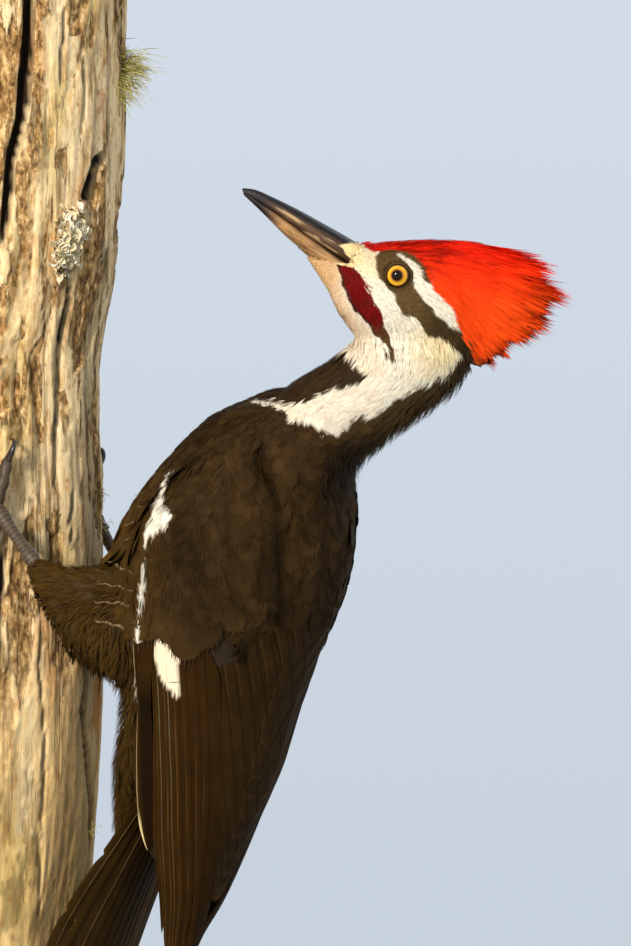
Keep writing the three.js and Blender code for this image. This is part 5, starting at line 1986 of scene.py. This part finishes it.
# cracks on the side towards -Y: places as (X, Z), half width and depth at each end
CRACKS = [
    ([(-27, 535), (-28.5, 500), (-31, 480), (-34.5, 465), (-37, 448), (-38.5, 425)],
     (2.6, 1.6), (9, 6)),
    ([(2, 466), (-1.8, 462), (-3.4, 455), (-5.5, 446)], (1.8, 3.4), (5, 7)),
    ([(-5.5, 446), (-8.7, 432), (-11.8, 418), (-13.8, 399), (-16.8, 367), (-17.7, 328)],
     (1.6, 0.9), (5, 2.5)),
    ([(-30, 371), (-30.4, 345), (-29.5, 320)], (0.6, 0.4), (2, 1.4)),
    ([(-11.8, 332), (-12.4, 320), (-11.6, 308)], (0.7, 0.5), (2.4, 1.6)),
    ([(-4, 280), (-6, 262), (-6.8, 244), (-5.2, 222), (-4.8, 204), (-5.6, 184)],
     (1.7, 1.7), (3.4, 3)),
    ([(-22, 300), (-23.5, 262), (-22, 214), (-24, 160)], (0.7, 0.5), (2.2, 1.6)),
    ([(-14, 526), (-16, 500), (-15, 480)], (0.8, 0.5), (2.6, 1.6)),
    ([(-8, 512), (-7, 486), (-9, 470)], (0.7, 0.6), (2.4, 1.6)),
]


# patches on the side towards -Y: place as (X, Z), half width and height, colour and strength
WOOD_MARKS = [
    (-29.5, 219, 5, 28, WOOD_PALE, 0.8), (-2.2, 249, 5, 24, WOOD_ORANGE, 0.8),
    (-20, 268, 10, 26, WOOD_ORANGE, 0.35), (-12, 210, 9, 40, WOOD_ORANGE, 0.12),
    (-30, 276, 3.5, 15, WOOD_MOSS, 0.7), (-22, 268, 2.4, 9, WOOD_MOSS, 0.6),
    (-38, 259, 3.5, 12, WOOD_MOSS, 0.7), (-34, 172, 6, 15, WOOD_MOSS, 0.6),
    (-21, 246, 1.6, 9, WOOD_MOSS, 0.6), (-25, 160, 4, 8, WOOD_MOSS, 0.5),
    (-20, 458, 6, 30, WOOD_OLIVE, 0.45), (-12, 336, 4, 30, WOOD_PALE, 0.8),
    (-3, 338, 2.6, 28, WOOD_PALE, 0.8), (-17, 352, 3.2, 24, WOOD_PALE, 0.7),
    (-34, 396, 4, 30, WOOD_PALE, 0.8), (-24, 446, 4, 26, WOOD_PALE, 0.5),
    (-20, 500, 3, 20, WOOD_PALE, 0.7), (-31, 482, 3, 18, WOOD_PALE, 0.7),
    (-24, 230, 7, 44, WOOD_PALE, 0.5), (-12, 470, 3.4, 24, WOOD_PALE, 0.5),
    # two narrow dark strips, at X -12 and -1, are thin cracks painted in as shade with no relief
    (-3, 396, 2.6, 26, WOOD_PALE, 0.6), (-12, 330, 1.2, 30, CRACK_SHADE, 0.5),
    (-1, 345, 1.0, 26, CRACK_SHADE, 0.5), (-17, 486, 5, 12, WOOD_OLIVE, 0.45),
    (-8, 448, 4, 12, RUST, 0.3), (-24, 500, 3, 12, RUST, 0.35),
    (-6, 380, 4, 22, WOOD_PALE, 0.5), (-33, 420, 5, 14, WOOD_MOSS, 0.5),
    (-9, 408, 4, 26, WOOD_MOSS, 0.45), (-24, 476, 4, 18, WOOD_MOSS, 0.45),
    (-36, 366, 5, 22, WOOD_MOSS, 0.55), (-4, 505, 4, 16, WOOD_MOSS, 0.45),
    (-16, 424, 4, 20, WOOD_BROWN, 0.5), (-34, 210, 5, 22, WOOD_MOSS, 0.4),
    (-26, 186, 4, 10, WOOD_MOSS, 0.45),
]


def all_cracks():
    """The told cracks and many more at random, as (azimuth, height) with widths and depths."""
    rng = np.random.default_rng(81)
    cracks = [([(azimuth_at(x, z), z) for x, z in line], widths, depths)
              for line, widths, depths in CRACKS]
    for _ in range(34):
        start, level = rng.uniform(-math.pi, math.pi), rng.uniform(60, 500)
        if -1.45 < start < 0 and rng.random() < 0.6:
            continue
        bends = np.cumsum(rng.normal(0, 0.035, 5))
        drop = rng.uniform(12, 36)
        line = [(start + bend, level - drop * step) for step, bend in enumerate(bends)]
        wide = rng.uniform(0.5, 2.0)
        cracks.append((line, (wide, wide * 0.6), (wide * 2.6, wide * 1.4)))
    return cracks


def crack_depth(around, height):
    """How deep the cracks are at places on the trunk."""
    cut = np.zeros_like(around)
    wiggle = 0.9 * lattice(around, height, 90, 9, 94)
    turn = np.stack([around, around - 2 * math.pi, around + 2 * math.pi])
    for line, widths, depths in all_cracks():
        line = np.array(line)
        reach = np.max(np.abs(line[:, 0])) + 1
        which = np.argmin(np.abs(turn - line[:, 0].mean()), axis=0)
        local = np.take_along_axis(turn, which[None], axis=0)[0] * TRUNK_RADIUS
        flat = np.column_stack([line[:, 0] * TRUNK_RADIUS, line[:, 1]])
        near = np.abs(local - flat[:, 0].mean()) < 26 + reach
        near &= (height < flat[:, 1].max() + 12) & (height > flat[:, 1].min() - 12)
        gap, along = line_distance(flat, local[near] + wiggle[near], height[near])
        width = widths[0] + (widths[1] - widths[0]) * along
        depth = depths[0] + (depths[1] - depths[0]) * along
        ends = smoothstep(np.minimum(along, 1 - along), -0.02, 0.14)
        bite = depth * ends * (1 - smoothstep(gap, width * 0.2, width * 1.5))
        cut[near] = np.maximum(cut[near], bite)
    return cut


def bark_form(around, height):
    """How far the weathered wood stands out at places on the trunk, and how it looks there.

    Gives the relief, the colour with painted shade in the cracks, how flaky the wood is and how
    plainly its own colour shows.
    """
    sway = lattice(around, height, 9, 70, 82) * 0.06 + lattice(around, height, 26, 26, 83) * 0.025
    turned = around + sway

    def grain(cells, tall, seed):
        return lattice(turned, height, cells, tall, seed)

    lower = smoothstep(16 * lattice(around, height, 14, 120, 98) - height, -300, -212)
    plates = 0.7 * grain(22, 70, 84) + 0.8 * grain(52, 34, 85)
    plates = plates + 0.45 * grain(120, 11, 86)
    plates = plates + 0.12 + 0.35 * lower
    high = smoothstep(plates, -0.1, 0.06)
    top = smoothstep(plates, 0.4, 0.5)
    fibre = grain(150, 46, 87)
    fine = grain(320, 22, 88)
    rough = grain(210, 3.2, 89) + grain(110, 6.5, 90)
    calm = 1 - 0.65 * lower
    out = -1.9 + (1.1 * high + 0.6 * top + 0.28 * fibre) * calm + 0.14 * fine + 0.5 * lower
    out = out + 0.42 * rough * (1 - high) * calm + 0.1 * rough

    gold = np.clip(lower[..., None] * 0.8 + 0.35 * grain(14, 80, 91)[..., None] + 0.12, 0, 1)
    colour = mixed(WOOD_CREAM, WOOD_GOLD, gold)
    rust = lattice(around, height, 34, 22, 93) + 0.5 * rough
    for tint, share in (
        (WOOD_BROWN, fade(fine * 0.6 + fibre * 0.7, 0.1, 0.9) * 0.1),
        (WOOD_GREY, fade(grain(30, 90, 92), 0.3, 0.8) * 0.2),
        (WOOD_OLIVE, fade(grain(26, 60, 96), 0.2, 0.8) * 0.5),
        (WOOD_BROWN, ((1 - high) * (1 - 0.8 * lower))[..., None] * 0.3),
        (RUST, fade(rust, 0.85, 1.25) * 0.55),
    ):
        colour = mixed(colour, tint, share)
    flaky = 0.25 + 0.75 * (1 - high) - 0.35 * top - 0.5 * lower
    plain = 0.05 + 0.53 * lower
    broken = 0.4 * rough + 0.6 * fine + 0.9 * lattice(around, height, 290, 4.5, 97)
    for x, z, wide, tall, tint, share in WOOD_MARKS:
        off = (around - azimuth_at(x, z)) * TRUNK_RADIUS
        gap = np.hypot(off / wide, (height - z) / tall)
        patch = fade(-gap + 0.45 * broken, -1.05, -0.75) * share
        colour = mixed(colour, tint, patch)
        if tint is WOOD_PALE:
            plain = np.maximum(plain, patch[..., 0] * 0.8)
    cut = crack_depth(around, height)
    # the cracks are painted dark, the deeper ones darker, as the shade inside them, and this shows
    # plainly
    dark = fade(cut, 0.6, 3.0)
    return out - cut, mixed(colour, CRACK_SHADE, dark), flaky, np.maximum(dark[..., 0], plain)


def bark_material():
    """Weathered wood: crisp upright plates over flaky darker wood, long checks darkened as painted
    shade, and fibre.
    """
    wood = Surface("weathered_wood")

    def noise(scale, tall, detail, roughness=0.6):
        """Noise drawn out upwards: tall is how much slower it changes along the trunk."""
        return wood.noise(wood.stretched(wood.place, 1.0, 1.0, tall), scale, detail,
                          Roughness=roughness, Distortion=0.25)

    plates = wood.add("Math", 0, wood.painted("Flaky", "Fac"), -0.2, noise(135.0, 0.14, 6.0),
                      operation="MULTIPLY_ADD")
    covered = wood.ramp(plates, (0.40, 0.0), (0.425, 1.0))
    rims = wood.ramp(plates, (0.375, 1.0), (0.4, 0.35), (0.425, 0.8), (0.45, 1.0))
    speckle = noise(430.0, 0.5, 5.0, 0.7)
    flakes = wood.ramp(speckle, (0.36, srgb(74, 50, 24)), (0.45, srgb(142, 104, 56)),
                       (0.55, srgb(206, 164, 104)), (0.66, srgb(250, 220, 164)))
    checks = wood.ramp(noise(42.0, 0.05, 4.0), (0.472, 1.0), (0.49, 0.3), (0.498, 0.3),
                       (0.514, 1.0))
    fibre = noise(1300.0, 0.03, 3.0)
    grain = wood.ramp(fibre, (0.3, 0.88), (0.7, 1.12))
    specks = wood.ramp(noise(620.0, 0.5, 4.0), (0.34, srgb(190, 150, 100)), (0.43, 1.0))
    stain = wood.ramp(noise(230.0, 0.2, 8.0, 0.72), (0.37, srgb(104, 76, 38)),
                      (0.44, srgb(214, 180, 122)), (0.5, 1.0))

    paint = wood.painted("Coat")
    colour = wood.blend(flakes, wood.blend(paint, specks, 0.7), covered, "MIX")
    # the checks darken the colour as painted shade inside them
    for layer, share in ((stain, 0.65), (rims, 0.85), (checks, 0.75), (grain, 1.0)):
        colour = wood.blend(colour, layer, share)
    relief = {}
    for source, strength, depth in ((covered, 0.5, 0.0006), (checks, 0.5, 0.0005),
                                    (speckle, 0.5, 0.0008), (fibre, 0.4, 0.0003)):
        relief = {"Normal": wood.bump(source, strength, depth, **relief)}
    return wood.finish(
        Base_Color=wood.blend(colour, paint, wood.painted("Plain", "Fac"), "MIX"),
        Roughness=wood.ramp(speckle, (0.3, 0.72), (0.7, 0.9)),
        Specular_IOR_Level=0.15, **relief,
    )


def raise_under_feet(points, around):
    """Raises the wood under the toes and claws until it meets them."""
    outward = np.stack([np.cos(around), np.sin(around), np.zeros_like(around)], axis=-1)
    for name in ("foot_left", "foot_right", "claws_left", "claws_right"):
        mesh = bpy.data.objects[name].data
        spots, _ = vertex_arrays(mesh)
        faces = [tuple(face.vertices) for face in mesh.polygons]
        tree = BVHTree.FromPolygons((spots * MM).tolist(), faces)
        low, high = spots.min(axis=0) - 5, spots.max(axis=0) + 5
        for row, column in np.argwhere(((points > low) & (points < high)).all(axis=-1)):
            spot = points[row, column]
            gap = tree.find_nearest(Vector(spot * MM), RAISE_WITHIN * MM)[3]
            if gap is None:
                continue
            gap = gap / MM
            share = 1 - float(smoothstep(gap, RAISE_MOST, RAISE_WITHIN))
            points[row, column] = spot + outward[row, column] * min(gap, RAISE_MOST) * share


def build_log():
    turn = np.linspace(-math.pi, math.pi, BARK_COLUMNS, endpoint=False)
    level = np.linspace(LOG_BOTTOM, LOG_TOP, BARK_ROWS)
    height, around = np.meshgrid(level, turn, indexing="ij")
    out, colour, flaky, plain = bark_form(around, height)
    rim = smoothstep(np.minimum(height - LOG_BOTTOM, LOG_TOP - height), -0.4, 2.2)
    points = trunk_surface(np.degrees(around), height, out - 1.2 * (1 - rim))
    raise_under_feet(points, around)
    faces = grid_faces(BARK_ROWS, BARK_COLUMNS, wrap=True)
    parts = [(points.reshape(-1, 3), triangles(faces), colour.reshape(-1, 3))]
    for row, normal in ((0, -1), (BARK_ROWS - 1, 1)):
        parts.append(cut_end(points[row], normal))
    log = joined_piece("perch_bark", parts, bark_material(), "dead_wood", "perch_log")
    for name, values, on_ends in (("Flaky", flaky, -0.6), ("Plain", plain, 0.25)):
        filled = np.full(len(log.data.vertices), on_ends)
        filled[:values.size] = values.ravel()
        number_points(log, name, filled)


def cut_end(rim, normal):
    """A sawn end: growth rings, and drying splits that run out from the middle, darkened as
    painted shade.
    """
    middle = rim.mean(axis=0)
    share = (np.linspace(0, 1, END_RINGS) ** 0.8)[:, None, None]
    points = middle + (rim[None] - middle) * share
    radius = np.linalg.norm(points[..., :2] - middle[:2], axis=-1)
    around = np.arctan2(points[..., 1] - middle[1], points[..., 0] - middle[0])
    wobble = 1.6 * np.sin(around * 3 + 0.5) + 0.8 * np.sin(around * 7)
    growth = 0.5 + 0.5 * np.sin((radius + wobble) * 2.1)
    dip = np.zeros_like(radius)
    for split, length in SPLITS:
        off = np.abs((around - split + math.pi) % (2 * math.pi) - math.pi) * radius
        dip = np.maximum(dip, smoothstep(-off, -1.3, -0.2) * smoothstep(-radius, -length, -6))
    points[..., 2] -= normal * (dip * 2.4 + 0.12 * growth) * (share[..., 0] < 0.98)
    colour = WOOD_GOLD * (1.02 - 0.3 * growth[..., None])
    colour = mixed(colour, WOOD_BROWN, fade(-radius, -30, -12) * 0.4)
    # painted shade inside the splits
    colour = colour * (1 - 0.85 * dip[..., None])
    quads = grid_faces(END_RINGS, len(rim), wrap=True)
    faces = triangles(quads if normal < 0 else quads[:, ::-1])
    return points.reshape(-1, 3), faces, colour.reshape(-1, 3)


def strands(rng, count, root, spread, reach, droop):
    """Fine branching threads of lichen and moss from about one place."""
    parts = []
    for _ in range(count):
        start = root + rng.normal(0, 1, 3) * spread
        way = unit(np.array(reach) + rng.normal(0, 0.55, 3))
        length = rng.uniform(0.5, 1.0) * np.linalg.norm(reach)
        t = np.linspace(0, 1, 7)[:, None]
        curl = rng.normal(0, 0.55, 3)
        line = start + way * length * t + curl * length * t ** 2 * 0.6
        line[:, 2] -= droop * (t[:, 0] ** 2) * length
        widths = 0.15 * (1 - 0.6 * t[:, 0])
        stations = list(zip(line, widths, widths))
        points, faces, share, _ = sweep(stations, unit(rng.normal(size=3)), 4, 7)
        tone = GREENS[rng.integers(len(GREENS))] * rng.uniform(0.8, 1.15)
        colour = np.tile(tone, (len(points), 1)) * (0.7 + 0.3 * share[:, None])
        parts.append((points, faces, colour))
    return parts


GREENS = [srgb(196, 190, 92), srgb(222, 208, 120), srgb(170, 168, 76), srgb(232, 214, 150)]
LICHEN_CREAMS = [srgb(255, 246, 220), srgb(255, 238, 200), srgb(246, 224, 180)]
# azimuth and height, number of threads, spread, the way and length that they grow, and droop
TUFTS = [
    ((-10, 501), 300, 3.2, (8.5, -3.5, 1.0), 0.3), ((-16, 493), 160, 2.8, (5, -3, -2), 0.5),
    ((-14, 330), 60, 1.6, (2.0, -1.5, 0.5), 0.3), ((-12, 318), 50, 1.6, (1.8, -1.5, -0.6), 0.4),
    ((-14, 196), 30, 1.6, (1.8, -1.5, 0), 0.3), ((-118, 300), 120, 3.2, (-4, -5, -1), 0.4),
    ((80, 430), 140, 3.4, (1, 7, 1), 0.4), ((150, 210), 110, 3.2, (-6, 3, -1), 0.4),
]


def lichen_patch(rng, azimuth, height, count, spread):
    """A patch of ruffled lobes, highest in its middle."""
    parts = []
    for _ in range(count):
        turn = azimuth + math.degrees(rng.normal(0, spread * 0.5) / TRUNK_RADIUS)
        level = height + rng.normal(0, spread)
        off = math.hypot(turn - azimuth, level - height) / spread
        root = trunk_surface(turn, level, 2.4 - 1.6 * off + rng.uniform(-0.8, 0.4))
        outward = unit(np.array([math.cos(math.radians(turn)), math.sin(math.radians(turn)),
                                 0.25]))
        parts.append(ruffle(rng, root, outward, rng.uniform(2.2, 3.8),
                            LICHEN_CREAMS[rng.integers(3)] * rng.uniform(0.95, 1.15)))
    return parts


def build_growth():
    """Beard lichen and moss in tufts, and a ruffled pale lichen, on the dead wood."""
    rng = np.random.default_rng(95)
    soft = painted_material("lichen_and_moss", 0.85, 800, contrast=0.3)
    moss, lichen = [], []
    for (azimuth, height), *tuft in TUFTS:
        root = trunk_surface(float(azimuth), float(height), -1.2)
        count, *how = tuft
        moss += strands(rng, count, root, *how)
    near = math.degrees(azimuth_at(-13.5, 430))
    for patch in ((near, 432, 110, 5.4), (near - 3, 425, 50, 4.0), (96, 250, 60, 5),
                  (-160, 380, 50, 5)):
        lichen += lichen_patch(rng, *patch)
    joined_piece("moss_tufts", moss, soft, "dead_wood")
    joined_piece("pale_lichen", lichen, soft, "dead_wood")


def ruffle(rng, root, outward, size, tone):
    """One wavy lobe of lichen."""
    side = unit(np.cross(outward, rng.normal(size=3)))
    up = np.cross(outward, side)
    rows, columns = 4, 11
    r = np.linspace(0.15, 1, rows)[:, None]
    turn = np.linspace(-1.9, 1.9, columns)[None, :]
    wave = 0.28 * np.sin(turn * 4 + rng.uniform(0, 6)) * r ** 2
    points = (root + side * (np.sin(turn) * r * size)[..., None]
              + outward * ((0.35 + np.cos(turn)) * r * size * 0.62)[..., None]
              + up * ((wave + 0.3 * r * r) * size)[..., None])
    shade = (0.62 + 0.42 * r) * np.ones_like(turn)
    colour = tone * shade[..., None]
    return points.reshape(-1, 3), triangles(grid_faces(rows, columns)), colour.reshape(-1, 3)


# ---------------------------------------------------------------- the display stand

BASE_SIZE = (270, 190, 16)
BASE_CORNER = 18
BASE_BEVEL = 2.5
ROD_OFF_MIDDLE = 23
# height and radius of the rods, with a small collar where they leave the base
ROD_ROWS = [(16, 6.6), (17.4, 6.6), (18.2, 5.4), (19, 5.0), (50, 5.0), (56, 5.0)]


def rounded_ring(level, inset):
    """The base's outline at one level, with its sides and corners drawn in by an inset."""
    length, width, _ = BASE_SIZE
    radius = BASE_CORNER - inset
    ring = []
    for quarter, (sign_x, sign_y) in enumerate(((1, 1), (-1, 1), (-1, -1), (1, -1))):
        turn = np.linspace(0, math.pi / 2, 13) + quarter * math.pi / 2
        x = sign_x * (length / 2 - BASE_CORNER) + radius * np.cos(turn)
        y = sign_y * (width / 2 - BASE_CORNER) + radius * np.sin(turn)
        ring.append(np.stack([x, y, np.full(len(turn), level)], axis=1))
    return np.concatenate(ring)


def build_stand():
    """A bevelled hardwood base and two brushed steel rods into the foot of the log."""
    height = BASE_SIZE[2]
    profile = [(0.0, 1.2), (1.2, 0.0), (height - BASE_BEVEL, 0.0)]
    for bend in np.linspace(0.15, 1, 6) * math.pi / 2:
        profile.append((height - BASE_BEVEL * (1 - math.sin(bend)),
                        BASE_BEVEL * (1 - math.cos(bend))))
    rings = [rounded_ring(level, inset) for level, inset in profile]
    around = len(rings[0])
    middle_low = np.tile([[0, 0, 0.0]], (around, 1))
    middle_high = np.tile([[0, 0, float(height)]], (around, 1))
    points = np.concatenate([middle_low, *rings, middle_high])
    faces = triangles(grid_faces(len(rings) + 2, around, wrap=True))
    base = mesh_object("stand_plate", points, faces, material=hardwood())
    bevel_shading(base)
    declare(base, "base_wood", "stand_base")

    steel = brushed_steel()
    shift, _ = trunk_at(float(LOG_BOTTOM))
    for side, name in ((-1, "left"), (1, "right")):
        x = TRUNK_X + float(shift) + side * ROD_OFF_MIDDLE
        stations = [(np.array([x, TRUNK_Y, z]), size, size) for z, size in ROD_ROWS]
        points, faces, _, _ = sweep(stations, np.array([1.0, 0, 0]), 40, 60)
        rod = mesh_object(f"stand_pin_{name}", points, faces, material=steel)
        bevel_shading(rod)
        declare(rod, "rod_steel", f"stand_rod_{name}")


def bevel_shading(piece):
    """Keeps the corners crisp while the curves stay smooth."""
    bpy.context.view_layer.objects.active = piece
    piece.select_set(True)
    bpy.ops.object.shade_smooth_by_angle(angle=math.radians(32))
    piece.select_set(False)


def hardwood():
    wood = Surface("walnut_base")
    figure = wood.noise(wood.stretched(wood.place, 6.0, 60.0, 60.0), 1.2, 6.0, Distortion=0.8)
    fibre = wood.noise(wood.stretched(wood.place, 40.0, 1500.0, 1500.0), 1.0, 4.0)
    tones = wood.ramp(figure, (0.3, srgb(74, 47, 29)), (0.5, srgb(108, 72, 45)),
                      (0.62, srgb(88, 57, 35)), (0.75, srgb(122, 84, 54)))
    pores = wood.ramp(fibre, (0.36, 0.62), (0.5, 1.0))
    return wood.finish(
        Base_Color=wood.blend(tones, pores, 0.8),
        Roughness=wood.ramp(fibre, (0.3, 0.34), (0.7, 0.5)),
        Normal=wood.bump(fibre, 0.25, 0.0002),
        Coat_Weight=0.2, Coat_Roughness=0.3,
    )


def brushed_steel():
    steel = Surface("brushed_steel")
    brush = steel.noise(steel.stretched(steel.place, 60.0, 60.0, 2600.0), 1.0, 3.0)
    return steel.finish(
        Base_Color=steel.ramp(brush, (0.3, srgb(150, 150, 152)), (0.7, srgb(188, 188, 190))),
        Roughness=steel.ramp(brush, (0.3, 0.26), (0.7, 0.4)),
        Normal=steel.bump(brush, 0.15, 0.0001),
        Metallic=1.0,
    )


# ---------------------------------------------------------------- camera, lights and floor

CAMERA_PLACE = (0.085, -5.06, 0.3385)
CAMERA_LENS = 482.9
LIT_PLACE = (0.04, -0.02, 0.32)
FLOOR_HALF = 3000
# name, place, softness in degrees, power and tint
LAMPS = [
    ("key", (-1.2, -2.3, 1.25), 9, 3.55, (1.0, 0.925, 0.84)),
    ("fill", (1.9, -1.2, 0.9), 50, 0.35, (0.9, 0.95, 1.0)),
    ("back", (0.8, 1.9, 1.8), 40, 0.5, (0.95, 0.97, 1.0)),
]


def place_camera(scene):
    camera = bpy.data.cameras.new("camera")
    camera.lens = CAMERA_LENS
    camera.clip_end = 50
    holder = bpy.data.objects.new("camera", camera)
    holder.location = CAMERA_PLACE
    holder.rotation_euler = (math.radians(90), 0, 0)
    scene.collection.objects.link(holder)
    scene.camera = holder


def lamp(scene, name, place, softness, power, tint):
    light = bpy.data.lights.new(name, "SUN")
    light.angle = math.radians(softness)
    light.energy = power
    light.color = tint
    lamp_object = bpy.data.objects.new(name, light)
    lamp_object.location = place
    aim = Vector(LIT_PLACE) - Vector(place)
    lamp_object.rotation_euler = aim.to_track_quat("-Z", "Y").to_euler()
    scene.collection.objects.link(lamp_object)


def studio_sky(scene):
    """A pale sky behind the model, and a cooler, dimmer light from all round."""
    world = bpy.data.worlds.new("studio")
    scene.world = world
    world.use_nodes = True
    world.node_tree.nodes.clear()
    sky = Graph(world.node_tree)
    height = sky.add("SeparateXYZ", "Z", sky.add("TexCoord", "Generated"))
    spread = sky.add("MapRange", 0, Value=height, From_Min=-0.035, From_Max=0.04)
    tones = sky.ramp(spread, (0.0, srgb(199, 210, 221)), (1.0, srgb(211, 221, 233)))
    seen = sky.add("Background", 0, Color=tones)
    ambient = sky.add("Background", 0, Color=(0.86, 0.93, 1.0, 1), Strength=0.4)
    path = sky.nodes.new("ShaderNodeLightPath").outputs
    straight = sky.add("Math", 0, path["Is Camera Ray"], path["Is Glossy Ray"],
                       operation="MAXIMUM")
    straight = sky.add("Math", 0, straight, path["Is Transmission Ray"], operation="MAXIMUM")
    light = sky.add("MixShader", 0, straight, ambient, seen)
    output = sky.nodes.new("ShaderNodeOutputWorld")
    sky.links.new(light, output.inputs[0])


def camera_and_light():
    scene = bpy.context.scene
    scene.view_settings.view_transform = "Standard"
    place_camera(scene)
    for told in LAMPS:
        lamp(scene, *told)
    studio_sky(scene)


def studio_floor():
    """A plain pale floor, with a faint mottle."""
    plain = Surface("studio_floor")
    mottle = plain.add("TexNoise", "Fac", Scale=3.0, Detail=4.0)
    tones = plain.ramp(mottle, (0.3, srgb(203, 208, 212)), (0.7, srgb(210, 214, 218)))
    corners = [(-FLOOR_HALF, -FLOOR_HALF, 0), (FLOOR_HALF, -FLOOR_HALF, 0),
               (FLOOR_HALF, FLOOR_HALF, 0), (-FLOOR_HALF, FLOOR_HALF, 0)]
    floor = mesh_object("floor", corners, [(0, 1, 2, 3)], smooth=False,
                        material=plain.finish(Base_Color=tones, Roughness=0.85))


# ---------------------------------------------------------------- putting it together

def bill_ground(ground, piece):
    """A half of the bill to lay feathers on; they share the unwrap of the skin nearest to them."""
    spots, outward = vertex_arrays(piece.data)
    rings = grid_faces(BILL_RINGS, BILL_SIDES, wrap=True)
    _, nearest = ground.nearest(spots[rings].mean(axis=1))
    return Ground(spots, rings, outward, np.zeros(len(spots), int), ground.face_unwrap[nearest])


def build_plumage(maxilla, mandible):
    skin, quads, parts = build_skin()
    unwrap = unwrap_of(skin)
    points, normals = vertex_arrays(skin.data)
    ground = Ground(points, quads, normals, parts, unwrap)
    for cover_part in (cover_face, cover_nostrils, cover_crown, cover_neck, cover_body,
                       cover_thighs, cover_wings, cover_down, cover_bars):
        cover_part(ground)
    cover_bill_root(bill_ground(ground, maxilla))
    cover_chin(bill_ground(ground, mandible))


camera_and_light()
studio_floor()
build_plumage(*build_bill())
build_wing_feathers()
build_tail()
build_eyes()
build_lids()
build_feet()
build_log()
build_growth()
build_stand()
